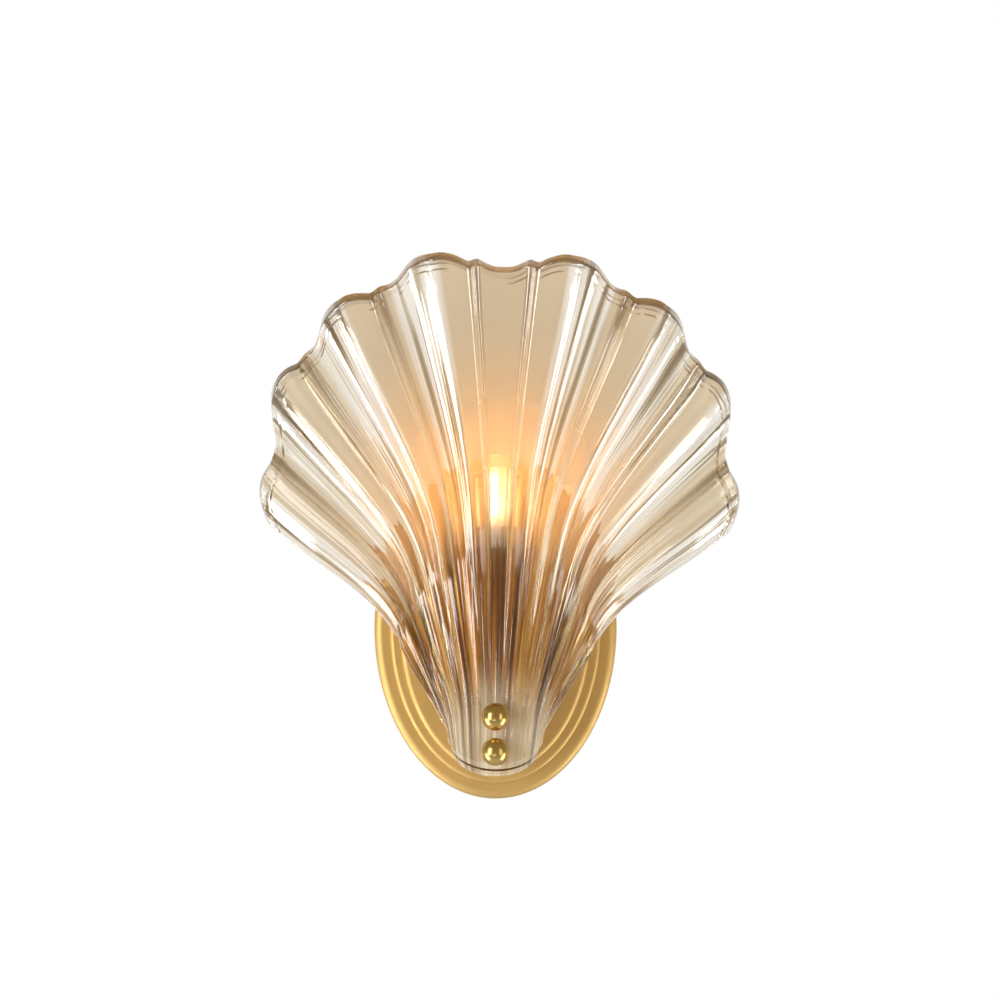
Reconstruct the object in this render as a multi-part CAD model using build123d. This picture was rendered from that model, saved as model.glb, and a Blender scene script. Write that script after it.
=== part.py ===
"""Wall sconce with a fluted glass shell on an oval brass plate.

Millimetres, +Z up. The wall is the plane y = 0 and the room is on the -Y side, so a "depth" below
is a distance out from the wall and stands for y = -depth. The origin is the centre of the oval
plate on the wall. Every sub-part is written to parts/NODE.step.
"""
from build123d import *
import math
import os

# ---------------------------------------------------------------- driving dimensions (mm)
CLEARANCE = 0.05          # radial play of a screwed or pushed-in piece
SEAT_GAP = 0.1            # air between a soft washer and the glass
SLIP = 0.08               # radial play of the glass sleeves and washers on their studs

# oval wall plate, spun from brass sheet in three steps
PLATE_WIDTH = 122.0
PLATE_HEIGHT = 172.0
PLATE_WALL = 1.4
BEAD_DEPTH = 11.0         # outer step, with the rolled bead
BEAD_ROUND = 4.0
LEDGE_INSET = 8.0         # second step, in from the outer edge
LEDGE_DEPTH = 14.0
LEDGE_ROUND = 1.8
FACE_INSET = 13.0         # flat face, in from the outer edge
FACE_DEPTH = 17.5
FACE_ROUND = 2.4

# steel strap on the wall, with two bent ears that hold the plate
STRAP_HEIGHT = 24.0
STRAP_THICK = 1.8
EAR_HEIGHT = 16.0
EAR_DEPTH = 7.8
EAR_PLAY = 0.5            # between an ear and the inside of the plate
WALL_HOLE_SPACING = 70.0
WALL_HOLE_R = 2.25
GRUB_R = 2.0
GRUB_LENGTH = 7.0
GRUB_DEPTH = 4.4          # height of the side screws above the wall
GRUB_SINK = 0.4           # how far they are screwed in under the skirt's face
GRUB_KEY_R = 1.1
ENTRY_R = 8.0             # cable hole in the strap
GROMMET_BORE_R = 4.0
GROMMET_FLANGE_R = 10.0
GROMMET_FLANGE = 1.4

# earth screw on the strap
EARTH_X = -20.0
EARTH_R = 2.0
EARTH_HEAD_R = 3.8
EARTH_HEAD = 2.4
WASHER_R = 4.4
WASHER_THICK = 0.8
LUG_THICK = 0.8
LUG_BARREL_R = 1.6
LUG_BARREL = 5.0
LUG_MARGIN = 2.8          # width of a lug's ring

# terminal block
TERMINAL_X = 20.0
TERMINAL_PITCH = 8.2
TERMINAL_HEIGHT = 18.0
TERMINAL_DEPTH = 11.0
TERMINAL_SIDE = 3.9       # from a pole's centre to the block's side
BARREL_R = 2.6
BARREL_BORE_R = 1.5
BARREL_END = 0.6          # how far the barrels sit inside the block's ends
CLAMP_R = 1.4
CLAMP_OFFSET = 5.2        # clamp screws above and below the middle
CLAMP_SINK = 0.5
FIX_R = 1.0
FIX_HEAD_R = 2.0
FIX_HEAD = 1.6

# threaded tube M10, its nuts and washers
TUBE_R = 5.0
TUBE_BORE_R = 3.5
NUT_FLATS = 14.0
NUT_THICK = 3.0
ARM_TUBE_START = 9.5      # depth of the tube's inner end
THREAD_GRIP = 6.0         # length screwed into the block from behind

# arm from the plate to the block
ARM_Z = -49.5
FLANGE_R = 17.0
FLANGE_THICK = 3.0
SLEEVE_R = 9.0
SLEEVE_LENGTH = 15.5

# solid block that carries the lampholder and the glass
BLOCK_WIDTH = 22.0
BLOCK_HEIGHT = 32.0
BLOCK_ROUND = 1.5
HOLDER_DEPTH = 45.0       # axis of the lampholder, out from the wall
HOLDER_GRIP = 8.0

# lampholder
COLLAR_R = 10.0
COLLAR_THICK = 3.0
CUP_R = 13.5
CUP_WALL = 1.0
CUP_LENGTH = 71.0
CUP_FLOOR = 1.4
SOCKET_LENGTH = 31.5
SOCKET_PLAY = 0.5
SOCKET_SINK = 0.5         # ceramic below the cup's rim
SOCKET_GRIP = 8.0
SLOT_HEIGHT = 15.0
SLOT_WIDTH = 2.6
SLOT_LENGTH = 5.0
PIN_PITCH = 9.0
PIN_THICK = 1.0
PIN_WIDTH = 3.6
PIN_LENGTH = 12.5
CONTACT_THICK = 0.4
CONTACT_HEIGHT = 13.0
CHAMBER_HEIGHT = 6.5
CHAMBER_LENGTH = 12.6
CHAMBER_WIDTH = 4.6

# capsule lamp
LAMP_GAP = 0.3
LAMP_BASE_R = 8.0
LAMP_BASE = 11.2
LAMP_R = 7.0
LAMP_LENGTH = 36.0
LAMP_WALL = 0.8
GLOW_R = 3.2
GLOW_LENGTH = 26.0
GLOW_LIFT = 1.5

# glass shell: fan of flutes, thick pressed glass
GLASS_THICK = 6.5
GLASS_GAP = 19.0          # from the lampholder's axis to the middle of the glass at the tongue
TONGUE_Z = -70.5
TONGUE_LIFT = 8.0         # how much higher the tongue's corners are than its tip
TONGUE_R = 16.5           # half width at the tongue
THROAT_SLOPE = 0.23       # how fast the throat widens
FLARE_SLOPE = 0.53        # how much faster the bowl widens
FLARE_START = 145.0
FLARE_SOFT = 15.0
FLUTES = 4                # on each side of the middle
FLUTE_TURN = 22.5         # degrees of the fan for each flute
RISE_MIDDLE = 1.03        # how steeply the middle and the sides climb
RISE_SIDE = 0.50
LEAN = 0.45               # how far the bowl leans out for each mm up
LEAN_START = 38.0
LEAN_FULL = 190.0
LIP = 8.0                 # extra roll of the rim
LIP_START = 212.0
LIP_FULL = 250.0
BOWL = 0.80               # share of a full half circle that the bowl wraps
BOWL_START = 30.0
BOWL_FULL = 120.0
EDGE_CURL = 4.5           # free edges roll outwards by this much at the throat
CURL_START = 40.0
CURL_FULL = 110.0
CURL_FADE = 190.0
CURL_GONE = 250.0
FLUTE_DEPTH = 7.0
FLUTE_START = 36.0
FLUTE_FULL = 250.0
RIM_HEIGHT = 238.5        # along the middle
RIM_DROP = 20.0           # lower at the sides
SCALLOP = 12.0
SCALLOP_RISE = 0.60       # share of a flute in which a scallop rises, and falls again
SCALLOP_FALL = 0.62
NOTCH = 1.5
GLASS_TILT = 1.0          # the glass hangs this many degrees out of plumb on its studs

# studs, washers and ball nuts
STUD_Z = (-41.0, -58.0)
STUD_R = 2.5
STUD_GRIP = 6.0
REAR_WASHER = 1.5
REAR_WASHER_R = 6.5
GLASS_SLEEVE_WALL = 1.1
FRONT_WASHER = 1.0
FRONT_WASHER_R = 5.5
BALL_R = 6.8
BALL_SEAT_R = 4.0
BALL_THREAD = 9.0
STUD_INTO_BALL = 8.0

# insulated wires
WIRE_R = 1.1
WIRE_SIDE = 1.4           # half the distance between the two wires in the tube
WIRE_DROP = 9.0           # straight run below a terminal
WIRE_TURN = 4.5           # radius of the bend into the arm's tube
WIRE_ABOVE = 10.0         # height above the arm where a wire is behind the tube's mouth
WIRE_PART_LOW = 5.5       # the two wires part between these distances below the chamber's roof
WIRE_PART_HIGH = 2.0
LIVE_BEND = (6.0, 19.5)   # across, and above the arm, where each wire crosses the plate's inside
NEUTRAL_BEND = (12.5, 16.5)
EARTH_DROP = 7.0          # straight run below the strap's lug
EARTH_REACH = 6.0         # straight run before the arm's lug
EARTH_SAG = (2.0, 3.0)    # across and down, how far the wire hangs off a straight line

# ---------------------------------------------------------------- worked-out places
PLATE_INNER_DEPTH = FACE_DEPTH - PLATE_WALL
ARM_WASHER_DEPTH = PLATE_INNER_DEPTH - WASHER_THICK
ARM_LUG_DEPTH = ARM_WASHER_DEPTH - LUG_THICK
ARM_NUT_DEPTH = ARM_LUG_DEPTH - NUT_THICK
FLANGE_FRONT = FACE_DEPTH + FLANGE_THICK
BLOCK_BACK = FLANGE_FRONT + SLEEVE_LENGTH
GLASS_DEPTH = HOLDER_DEPTH + GLASS_GAP
GLASS_BACK = GLASS_DEPTH - GLASS_THICK / 2
GLASS_FRONT = GLASS_DEPTH + GLASS_THICK / 2
BLOCK_FRONT = GLASS_BACK - SEAT_GAP - REAR_WASHER
BLOCK_TOP = ARM_Z + BLOCK_HEIGHT / 2 + 0.5
BLOCK_BOTTOM = BLOCK_TOP - BLOCK_HEIGHT
TUBE_HOLE_R = TUBE_R + CLEARANCE
PASS_HOLE_R = TUBE_R + 0.15
BALL_BACK = GLASS_FRONT + SEAT_GAP + FRONT_WASHER + SEAT_GAP
COLLAR_TOP = BLOCK_TOP + COLLAR_THICK
CUP_TOP = COLLAR_TOP + CUP_LENGTH
SOCKET_TOP = CUP_TOP - SOCKET_SINK
SOCKET_BOTTOM = SOCKET_TOP - SOCKET_LENGTH
SLOT_BOTTOM = SOCKET_TOP - SLOT_HEIGHT
CHAMBER_BOTTOM = SOCKET_BOTTOM + SOCKET_GRIP
LAMP_BOTTOM = SOCKET_TOP + LAMP_GAP
LAMP_GLASS_BOTTOM = LAMP_BOTTOM + LAMP_BASE
SLEEVE_HOLE_R = STUD_R + SLIP
GLASS_HOLE_R = SLEEVE_HOLE_R + GLASS_SLEEVE_WALL + CLEARANCE
TERMINAL_MIDDLE = STRAP_THICK + TERMINAL_DEPTH / 2

PARTS = {}


# ---------------------------------------------------------------- small shapes
def rod(radius, depth_from, depth_to, x=0.0, z=0.0):
    """Cylinder that points out of the wall, between two depths."""
    length = depth_to - depth_from
    return Pos(x, -(depth_from + depth_to) / 2, z) * Rot(90, 0, 0) * Cylinder(radius, length)


def post(radius, z_from, z_to, x=0.0, depth=HOLDER_DEPTH):
    """Upright cylinder between two heights."""
    return Pos(x, -depth, (z_from + z_to) / 2) * Cylinder(radius, z_to - z_from)


def slab(x_from, x_to, depth_from, depth_to, z_from, z_to):
    """Box between two corners."""
    middle = Pos((x_from + x_to) / 2, -(depth_from + depth_to) / 2, (z_from + z_to) / 2)
    return middle * Box(x_to - x_from, depth_to - depth_from, z_to - z_from)


def hexagon(depth_from, depth_to, z):
    """Hexagonal prism that points out of the wall."""
    face = Plane.XZ * Pos(0, z) * RegularPolygon(NUT_FLATS / 2, 6, major_radius=False)
    return Pos(0, -depth_from, 0) * extrude(face, depth_to - depth_from)


def upright_nut(z_from):
    """Thin M10 nut on the lampholder's tube."""
    face = RegularPolygon(NUT_FLATS / 2, 6, major_radius=False)
    nut = Pos(0, -HOLDER_DEPTH, z_from) * extrude(face, NUT_THICK)
    return nut - post(TUBE_HOLE_R, z_from, z_from + NUT_THICK)


# ---------------------------------------------------------------- wall plate and strap
def plate_form(skin):
    """The plate's three stacked oval steps, made smaller all round by skin."""
    steps = (
        (0.0, BEAD_DEPTH, BEAD_ROUND),
        (LEDGE_INSET, LEDGE_DEPTH, LEDGE_ROUND),
        (FACE_INSET, FACE_DEPTH, FACE_ROUND),
    )
    form = None
    for inset, depth, round_over in steps:
        oval = Ellipse(PLATE_WIDTH / 2 - inset - skin, PLATE_HEIGHT / 2 - inset - skin)
        step = extrude(Plane.XZ * oval, depth - skin)
        front_edge = step.edges().group_by(Axis.Y)[0]
        step = fillet(front_edge, max(round_over - skin, round_over * 0.3))
        form = step if form is None else form + step
    return form


def back_plate():
    """Hollow plate with the hole for the arm and one screw hole in each side of its skirt."""
    plate = plate_form(0.0) - plate_form(PLATE_WALL)
    plate -= rod(PASS_HOLE_R, 0, FACE_DEPTH + 1, z=ARM_Z)
    side_hole = Rot(0, 90, 0) * Cylinder(GRUB_R + 0.2, PLATE_WIDTH + 2)
    return plate - Pos(0, -GRUB_DEPTH, 0) * side_hole


def ear_outside():
    """Half the width over the strap's ears, which stop just inside the plate's skirt."""
    inner_a = PLATE_WIDTH / 2 - PLATE_WALL
    inner_b = PLATE_HEIGHT / 2 - PLATE_WALL
    return inner_a * math.sqrt(1 - (EAR_HEIGHT / 2 / inner_b) ** 2) - EAR_PLAY


def wall_bracket():
    """Flat strap with an ear bent out at each end."""
    half = ear_outside()
    strap = slab(-half, half, 0, STRAP_THICK, -STRAP_HEIGHT / 2, STRAP_HEIGHT / 2)
    upright_edges = strap.edges().filter_by(Axis.Y)
    strap = fillet(upright_edges, (STRAP_HEIGHT - EAR_HEIGHT) / 2)
    for side in (-1, 1):
        near, far = sorted((side * half, side * (half - STRAP_THICK)))
        strap += slab(near, far, 0, EAR_DEPTH, -EAR_HEIGHT / 2, EAR_HEIGHT / 2)
        strap -= rod(WALL_HOLE_R, -1, STRAP_THICK + 1, x=side * WALL_HOLE_SPACING / 2)
    ear_holes = Rot(0, 90, 0) * Cylinder(GRUB_R + CLEARANCE, 2 * half + 2)
    strap -= Pos(0, -GRUB_DEPTH, 0) * ear_holes
    strap -= rod(ENTRY_R, -1, STRAP_THICK + 1)
    strap -= rod(EARTH_R + CLEARANCE, -1, STRAP_THICK + 1, x=EARTH_X)
    return strap - rod(FIX_R + CLEARANCE, -1, STRAP_THICK + 1, x=TERMINAL_X)


def plate_grub_screws():
    """Two grub screws through the skirt into the ears, with a key hole in each end."""
    outside = PLATE_WIDTH / 2 - GRUB_SINK
    screws = []
    for side in (-1, 1):
        middle = side * (outside - GRUB_LENGTH / 2)
        screw = Rot(0, 90, 0) * Cylinder(GRUB_R, GRUB_LENGTH)
        key = Pos(side * GRUB_LENGTH / 2, 0, 0) * Rot(0, 90, 0) * Cylinder(GRUB_KEY_R, GRUB_LENGTH / 2)
        screws.append(Pos(middle, -GRUB_DEPTH, 0) * (screw - key))
    return screws


def cable_grommet():
    """Rubber ring in the strap's cable hole, with its flange inside the plate."""
    ring = rod(ENTRY_R - CLEARANCE, 0, STRAP_THICK)
    ring += rod(GROMMET_FLANGE_R, STRAP_THICK, STRAP_THICK + GROMMET_FLANGE)
    return ring - rod(GROMMET_BORE_R, -1, STRAP_THICK + GROMMET_FLANGE + 1)


# ---------------------------------------------------------------- earthing
def lug(depth, side, hole_r, x, z, angle):
    """Crimp lug: a ring, a neck and a barrel that points along angle (degrees from +X)."""
    ring_r = hole_r + LUG_MARGIN
    ring = rod(ring_r, depth, depth + LUG_THICK)
    neck = slab(0, ring_r + 1.5, depth, depth + LUG_THICK, -LUG_BARREL_R, LUG_BARREL_R)
    barrel_start = ring_r + 1.0
    barrel = Rot(0, 90, 0) * Cylinder(LUG_BARREL_R, LUG_BARREL)
    barrel_depth = barrel_axis_depth(depth, side)
    body = ring + neck + Pos(barrel_start + LUG_BARREL / 2, -barrel_depth, 0) * barrel
    body -= rod(hole_r, depth - 1, depth + LUG_THICK + 1)
    return Pos(x, 0, z) * Rot(0, -angle, 0) * body


def barrel_axis_depth(depth, side):
    """Depth of a lug's barrel axis: it bulges to the room (side 1) or to the wall (side -1)."""
    return depth + LUG_THICK / 2 + side * (LUG_BARREL_R - LUG_THICK / 2)


def lug_mouth(depth, side, hole_r, x, z, angle, reach=0.0):
    """Point where the wire meets a lug's barrel, or reach further out along it."""
    distance = hole_r + LUG_MARGIN + 1.0 + LUG_BARREL + reach
    turn = math.radians(angle)
    along = (x + distance * math.cos(turn), z + distance * math.sin(turn))
    return along[0], barrel_axis_depth(depth, side), along[1]


EARTH_LUG_DEPTH = STRAP_THICK + WASHER_THICK
EARTH_LUG = (EARTH_LUG_DEPTH, 1, EARTH_R + 0.2, EARTH_X, 0.0, -90.0)
ARM_LUG = (ARM_LUG_DEPTH, -1, PASS_HOLE_R, 0.0, ARM_Z, 127.0)


def earth_screw():
    """Pan-head screw through the lug and washer into the strap, with a cross slot."""
    head_from = EARTH_LUG_DEPTH + LUG_THICK
    shank = rod(EARTH_R, 0.2, head_from, x=EARTH_X)
    head = rod(EARTH_HEAD_R, head_from, head_from + EARTH_HEAD, x=EARTH_X)
    head = fillet(head.edges().group_by(Axis.Y)[0], EARTH_HEAD * 0.4)
    screw = shank + head
    for long, high in ((EARTH_HEAD_R, 0.5), (0.5, EARTH_HEAD_R)):
        screw -= slab(
            EARTH_X - long * 0.7, EARTH_X + long * 0.7,
            head_from + EARTH_HEAD * 0.5, head_from + EARTH_HEAD + 1,
            -high * 0.7, high * 0.7,
        )
    return screw


def earth_washer():
    """Toothed washer between the lug and the strap."""
    washer = rod(WASHER_R, STRAP_THICK, STRAP_THICK + WASHER_THICK, x=EARTH_X)
    return washer - rod(EARTH_R + 0.2, 0, FACE_DEPTH, x=EARTH_X)


# ---------------------------------------------------------------- terminal block
def pole_places():
    """Across position of each pole."""
    return tuple(TERMINAL_X + side * TERMINAL_PITCH / 2 for side in (-1, 1))


def terminal_block():
    """Moulded block with an upright bore for each pole and holes for the clamp screws."""
    half = TERMINAL_PITCH / 2 + TERMINAL_SIDE
    front = STRAP_THICK + TERMINAL_DEPTH
    top = TERMINAL_HEIGHT / 2
    block = slab(TERMINAL_X - half, TERMINAL_X + half, STRAP_THICK, front, -top, top)
    block = fillet(block.edges().filter_by(Axis.Y), 1.2)
    for x in pole_places():
        block -= post(BARREL_R + CLEARANCE, -top - 1, top + 1, x, TERMINAL_MIDDLE)
        for z in (-CLAMP_OFFSET, CLAMP_OFFSET):
            block -= rod(CLAMP_R + CLEARANCE, TERMINAL_MIDDLE, front + 1, x, z)
    block -= rod(FIX_R + CLEARANCE, 0, front + 1, x=TERMINAL_X)
    return block - rod(FIX_HEAD_R + CLEARANCE, front - FIX_HEAD, front + 1, x=TERMINAL_X)


def terminal_barrels():
    """Brass tube in each pole, with two threaded cross holes."""
    end = TERMINAL_HEIGHT / 2 - BARREL_END
    barrels = []
    for x in pole_places():
        barrel = post(BARREL_R, -end, end, x, TERMINAL_MIDDLE)
        barrel -= post(BARREL_BORE_R, -end - 1, end + 1, x, TERMINAL_MIDDLE)
        for z in (-CLAMP_OFFSET, CLAMP_OFFSET):
            barrel -= rod(CLAMP_R + CLEARANCE, TERMINAL_MIDDLE, FACE_DEPTH, x, z)
        barrels.append(barrel)
    return barrels


def terminal_screws():
    """Slotted clamp screws, two for each pole."""
    front = STRAP_THICK + TERMINAL_DEPTH - CLAMP_SINK
    screws = []
    for x in pole_places():
        for z in (-CLAMP_OFFSET, CLAMP_OFFSET):
            screw = rod(CLAMP_R, TERMINAL_MIDDLE + BARREL_BORE_R * 0.4, front, x, z)
            slot = slab(x - CLAMP_R, x + CLAMP_R, front - 0.8, front + 1, z - 0.25, z + 0.25)
            screws.append(screw - slot)
    return screws


def terminal_fixing_screw():
    """Screw between the poles that holds the block on the strap."""
    front = STRAP_THICK + TERMINAL_DEPTH
    screw = rod(FIX_R, 0.2, front - FIX_HEAD, x=TERMINAL_X)
    screw += rod(FIX_HEAD_R, front - FIX_HEAD, front - 0.2, x=TERMINAL_X)
    return screw - slab(TERMINAL_X - 1.5, TERMINAL_X + 1.5, front - 0.9, front + 1, -0.25, 0.25)


# ---------------------------------------------------------------- arm and block
def arm_tube():
    """Threaded tube that carries the block and the wires."""
    end = BLOCK_BACK + THREAD_GRIP
    tube = rod(TUBE_R, ARM_TUBE_START, end, z=ARM_Z)
    return tube - rod(TUBE_BORE_R, ARM_TUBE_START - 1, end + 1, z=ARM_Z)


def arm_lock_washer():
    """Washer between the plate and the earth lug."""
    washer = rod(NUT_FLATS / 2 + 1.0, ARM_WASHER_DEPTH, PLATE_INNER_DEPTH, z=ARM_Z)
    return washer - rod(PASS_HOLE_R, 0, FACE_DEPTH, z=ARM_Z)


def arm_lock_nut():
    """Nut that clamps the arm to the plate from inside."""
    nut = hexagon(ARM_NUT_DEPTH, ARM_LUG_DEPTH, ARM_Z)
    return nut - rod(TUBE_HOLE_R, 0, FACE_DEPTH, z=ARM_Z)


def arm_flange():
    """Turned rosette on the plate's face."""
    flange = rod(FLANGE_R, FACE_DEPTH, FLANGE_FRONT, z=ARM_Z)
    flange = fillet(flange.edges().group_by(Axis.Y)[0], FLANGE_THICK * 0.5)
    return flange - rod(PASS_HOLE_R, 0, FLANGE_FRONT + 1, z=ARM_Z)


def arm_sleeve():
    """Polished tube that covers the thread between the rosette and the block."""
    sleeve = rod(SLEEVE_R, FLANGE_FRONT, BLOCK_BACK, z=ARM_Z)
    return sleeve - rod(PASS_HOLE_R, 0, BLOCK_BACK + 1, z=ARM_Z)


def mount_block():
    """Solid block, drilled from behind and from the top for the wires, and in front for the studs."""
    half = BLOCK_WIDTH / 2
    block = slab(-half, half, BLOCK_BACK, BLOCK_FRONT, BLOCK_BOTTOM, BLOCK_TOP)
    block = fillet(block.edges().filter_by(Axis.Y), BLOCK_ROUND)
    wire_bore = TUBE_BORE_R + 0.1
    block -= rod(TUBE_HOLE_R, BLOCK_BACK - 1, BLOCK_BACK + THREAD_GRIP, z=ARM_Z)
    block -= rod(wire_bore, BLOCK_BACK, HOLDER_DEPTH + wire_bore, z=ARM_Z)
    block -= post(TUBE_HOLE_R, BLOCK_TOP - HOLDER_GRIP, BLOCK_TOP + 1)
    block -= post(wire_bore, ARM_Z - wire_bore, BLOCK_TOP)
    for z in STUD_Z:
        block -= rod(STUD_R + CLEARANCE, BLOCK_FRONT - STUD_GRIP, BLOCK_FRONT + 1, z=z)
    return block


# ---------------------------------------------------------------- lampholder
def holder_tube():
    """Upright threaded tube between the block and the ceramic socket."""
    bottom = BLOCK_TOP - HOLDER_GRIP
    top = SOCKET_BOTTOM + SOCKET_GRIP
    return post(TUBE_R, bottom, top) - post(TUBE_BORE_R, bottom - 1, top + 1)


def holder_collar():
    """Turned ring under the cup."""
    collar = post(COLLAR_R, BLOCK_TOP, COLLAR_TOP)
    collar = chamfer(collar.edges().group_by(Axis.Z)[0], COLLAR_THICK * 0.25)
    return collar - post(PASS_HOLE_R, BLOCK_TOP - 1, COLLAR_TOP + 1)


def holder_cup():
    """Drawn brass cup that hides the tube and the socket, open at the top."""
    cup = post(CUP_R, COLLAR_TOP, CUP_TOP)
    cup = fillet(cup.edges().group_by(Axis.Z)[0], CUP_FLOOR)
    cup -= post(CUP_R - CUP_WALL, COLLAR_TOP + CUP_FLOOR, CUP_TOP + 1)
    return cup - post(PASS_HOLE_R, COLLAR_TOP - 1, COLLAR_TOP + CUP_FLOOR + 1)


def socket_body():
    """Porcelain socket with two contact slots and a chamber for the wire ends."""
    body = post(CUP_R - CUP_WALL - SOCKET_PLAY, SOCKET_BOTTOM, SOCKET_TOP)
    body = chamfer(body.edges().group_by(Axis.Z)[-1], 0.8)
    body -= post(TUBE_HOLE_R, SOCKET_BOTTOM - 1, CHAMBER_BOTTOM)
    body -= Pos(0, -HOLDER_DEPTH, CHAMBER_BOTTOM + CHAMBER_HEIGHT / 2) * Box(
        CHAMBER_LENGTH, CHAMBER_WIDTH, CHAMBER_HEIGHT
    )
    for side in (-1, 1):
        x = side * PIN_PITCH / 2
        body -= post(WIRE_R + 0.2, CHAMBER_BOTTOM + CHAMBER_HEIGHT - 1, SLOT_BOTTOM + 1, x)
        body -= Pos(x, -HOLDER_DEPTH, SLOT_BOTTOM + SLOT_HEIGHT / 2 + 1) * Box(
            SLOT_WIDTH, SLOT_LENGTH, SLOT_HEIGHT + 2
        )
    return body


def socket_contacts():
    """Folded spring clip in each slot; the pin slips between its two leaves."""
    inside = PIN_THICK + 2 * CLEARANCE
    outside = inside + 2 * CONTACT_THICK
    clips = []
    for side in (-1, 1):
        place = Pos(side * PIN_PITCH / 2, -HOLDER_DEPTH, SLOT_BOTTOM + CONTACT_HEIGHT / 2)
        clip = Box(outside, PIN_WIDTH + 0.4, CONTACT_HEIGHT)
        clip -= Pos(0, 0, CONTACT_THICK) * Box(inside, PIN_WIDTH + 1.0, CONTACT_HEIGHT)
        clips.append(place * clip)
    return clips


# ---------------------------------------------------------------- capsule lamp
def lamp_base():
    """Moulded foot of the lamp."""
    base = post(LAMP_BASE_R, LAMP_BOTTOM, LAMP_GLASS_BOTTOM)
    base = fillet(base.edges().group_by(Axis.Z)[0], 1.5)
    return chamfer(base.edges().group_by(Axis.Z)[-1], LAMP_BASE_R - LAMP_R - 0.2)


def lamp_pins():
    """Two flat looped pins under the foot."""
    pins = []
    for side in (-1, 1):
        pin = Box(PIN_THICK, PIN_WIDTH, PIN_LENGTH)
        foot = pin.edges().filter_by(Axis.X).group_by(Axis.Z)[0]
        pin = fillet(foot, PIN_WIDTH * 0.4)
        pins.append(Pos(side * PIN_PITCH / 2, -HOLDER_DEPTH, LAMP_BOTTOM - PIN_LENGTH / 2) * pin)
    return pins


def capsule(radius, bottom, length):
    """Upright rod with a domed top."""
    straight = post(radius, bottom, bottom + length - radius)
    return straight + Pos(0, -HOLDER_DEPTH, bottom + length - radius) * Sphere(radius)


def lamp_glass():
    """Thin frosted tube with a domed end."""
    outer = capsule(LAMP_R, LAMP_GLASS_BOTTOM, LAMP_LENGTH)
    inner = capsule(LAMP_R - LAMP_WALL, LAMP_GLASS_BOTTOM, LAMP_LENGTH - LAMP_WALL)
    return outer - inner


def lamp_glow():
    """The rod of light-giving elements, on a thin stem."""
    stem = post(GLOW_R * 0.5, LAMP_GLASS_BOTTOM, LAMP_GLASS_BOTTOM + GLOW_LIFT + 1)
    return stem + capsule(GLOW_R, LAMP_GLASS_BOTTOM + GLOW_LIFT, GLOW_LENGTH)


# ---------------------------------------------------------------- glass shell
def ease(value):
    """Smooth step from 0 to 1."""
    value = min(1.0, max(0.0, value))
    return value * value * (3 - 2 * value)


def fan_radius(h):
    """Half width of the fan at h: a slow throat, then a faster bowl, with a soft change."""
    bowl = FLARE_SOFT * math.log1p(math.exp((h - FLARE_START) / FLARE_SOFT))
    return TONGUE_R + THROAT_SLOPE * h + FLARE_SLOPE * bowl


def lean_depth(h):
    """Depth of the middle line: upright at the tongue, leaning out more and more, with a lip."""
    span = LEAN_FULL - LEAN_START
    share = max(0.0, (h - LEAN_START) / span)
    run = share**3 - share**4 / 2 if share < 1 else 0.5 + (share - 1)
    lip = LIP * max(0.0, (h - LIP_START) / (LIP_FULL - LIP_START)) ** 3
    return GLASS_DEPTH + LEAN * span * run + lip


def smooth_shell(k, h):
    """Point of the shell without flutes: k counts flutes from the middle, h goes up the fan."""
    turn = math.radians(k * FLUTE_TURN)
    radius = fan_radius(h)
    away = abs(k) / FLUTES
    curl = EDGE_CURL * ease((away - 0.775) / 0.225)
    curl *= ease((h - CURL_START) / (CURL_FULL - CURL_START))
    curl *= 1 - ease((h - CURL_FADE) / (CURL_GONE - CURL_FADE))
    x = radius * math.sin(turn) + math.copysign(curl, k)
    rise = RISE_SIDE + (RISE_MIDDLE - RISE_SIDE) * math.cos(turn)
    z = TONGUE_Z + TONGUE_LIFT * (1 - math.cos(turn)) + rise * h
    wrap = radius / BOWL * (1 - math.sqrt(1 - (BOWL * math.sin(turn)) ** 2))
    wrap *= ease((h - BOWL_START) / (BOWL_FULL - BOWL_START))
    return Vector(x, -(lean_depth(h) - wrap), z)


def flute(k):
    """Shape across one flute, 0 in the valley and 1 on the rib: the outer wall is the gentler one."""
    share = 1.0 if abs(k) >= FLUTES else abs(k) % 1.0
    return ease((share - 0.24) / 0.12) * (1 - ease((share - 0.70) / 0.27))


def rim_line(k):
    """Value of h at the rim: one scallop for each rib, lower at the sides, notched in the middle.
    Each scallop ends in the next flute; the last one, on each side, starts further out."""
    away = abs(k) / FLUTES
    share = 1.0 if away >= 1 else abs(k) % 1.0
    start, top = (0.15, 0.72) if abs(k) > FLUTES - 1 else (0.05, 0.66)
    if share > top:
        wave = 1 - ease((share - top) / SCALLOP_FALL)
    else:
        tail = 1 - ease((share + 0.34) / SCALLOP_FALL) if abs(k) >= 1 else 0.0
        wave = min(1.0, ease((share - start) / SCALLOP_RISE) + tail)
    dip = NOTCH * (1 - ease(abs(k) / 0.5))
    return RIM_HEIGHT - RIM_DROP * away**4 + SCALLOP * wave - dip


def shell_point(k, h, skin):
    """Point of the fluted shell, skin mm in front of the middle of the glass."""
    step = 0.001
    across = smooth_shell(k + step, h) - smooth_shell(k - step, h)
    up = smooth_shell(k, h + step) - smooth_shell(k, h - step)
    out = across.cross(up).normalized()
    if out.Y > 0:
        out = -out
    depth = FLUTE_DEPTH * ease((h - FLUTE_START) / (FLUTE_FULL - FLUTE_START)) ** 0.8
    return smooth_shell(k, h) + out * (depth * flute(k) + skin)


def fan_lines():
    """Values of k for the strips of glass: closer together on the walls of each rib."""
    shares = (0.0, 0.12, 0.24, 0.30, 0.36, 0.53, 0.70, 0.79, 0.88, 0.97)
    half = [number + share for number in range(FLUTES) for share in shares] + [float(FLUTES)]
    return [-k for k in reversed(half[1:])] + half


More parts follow.
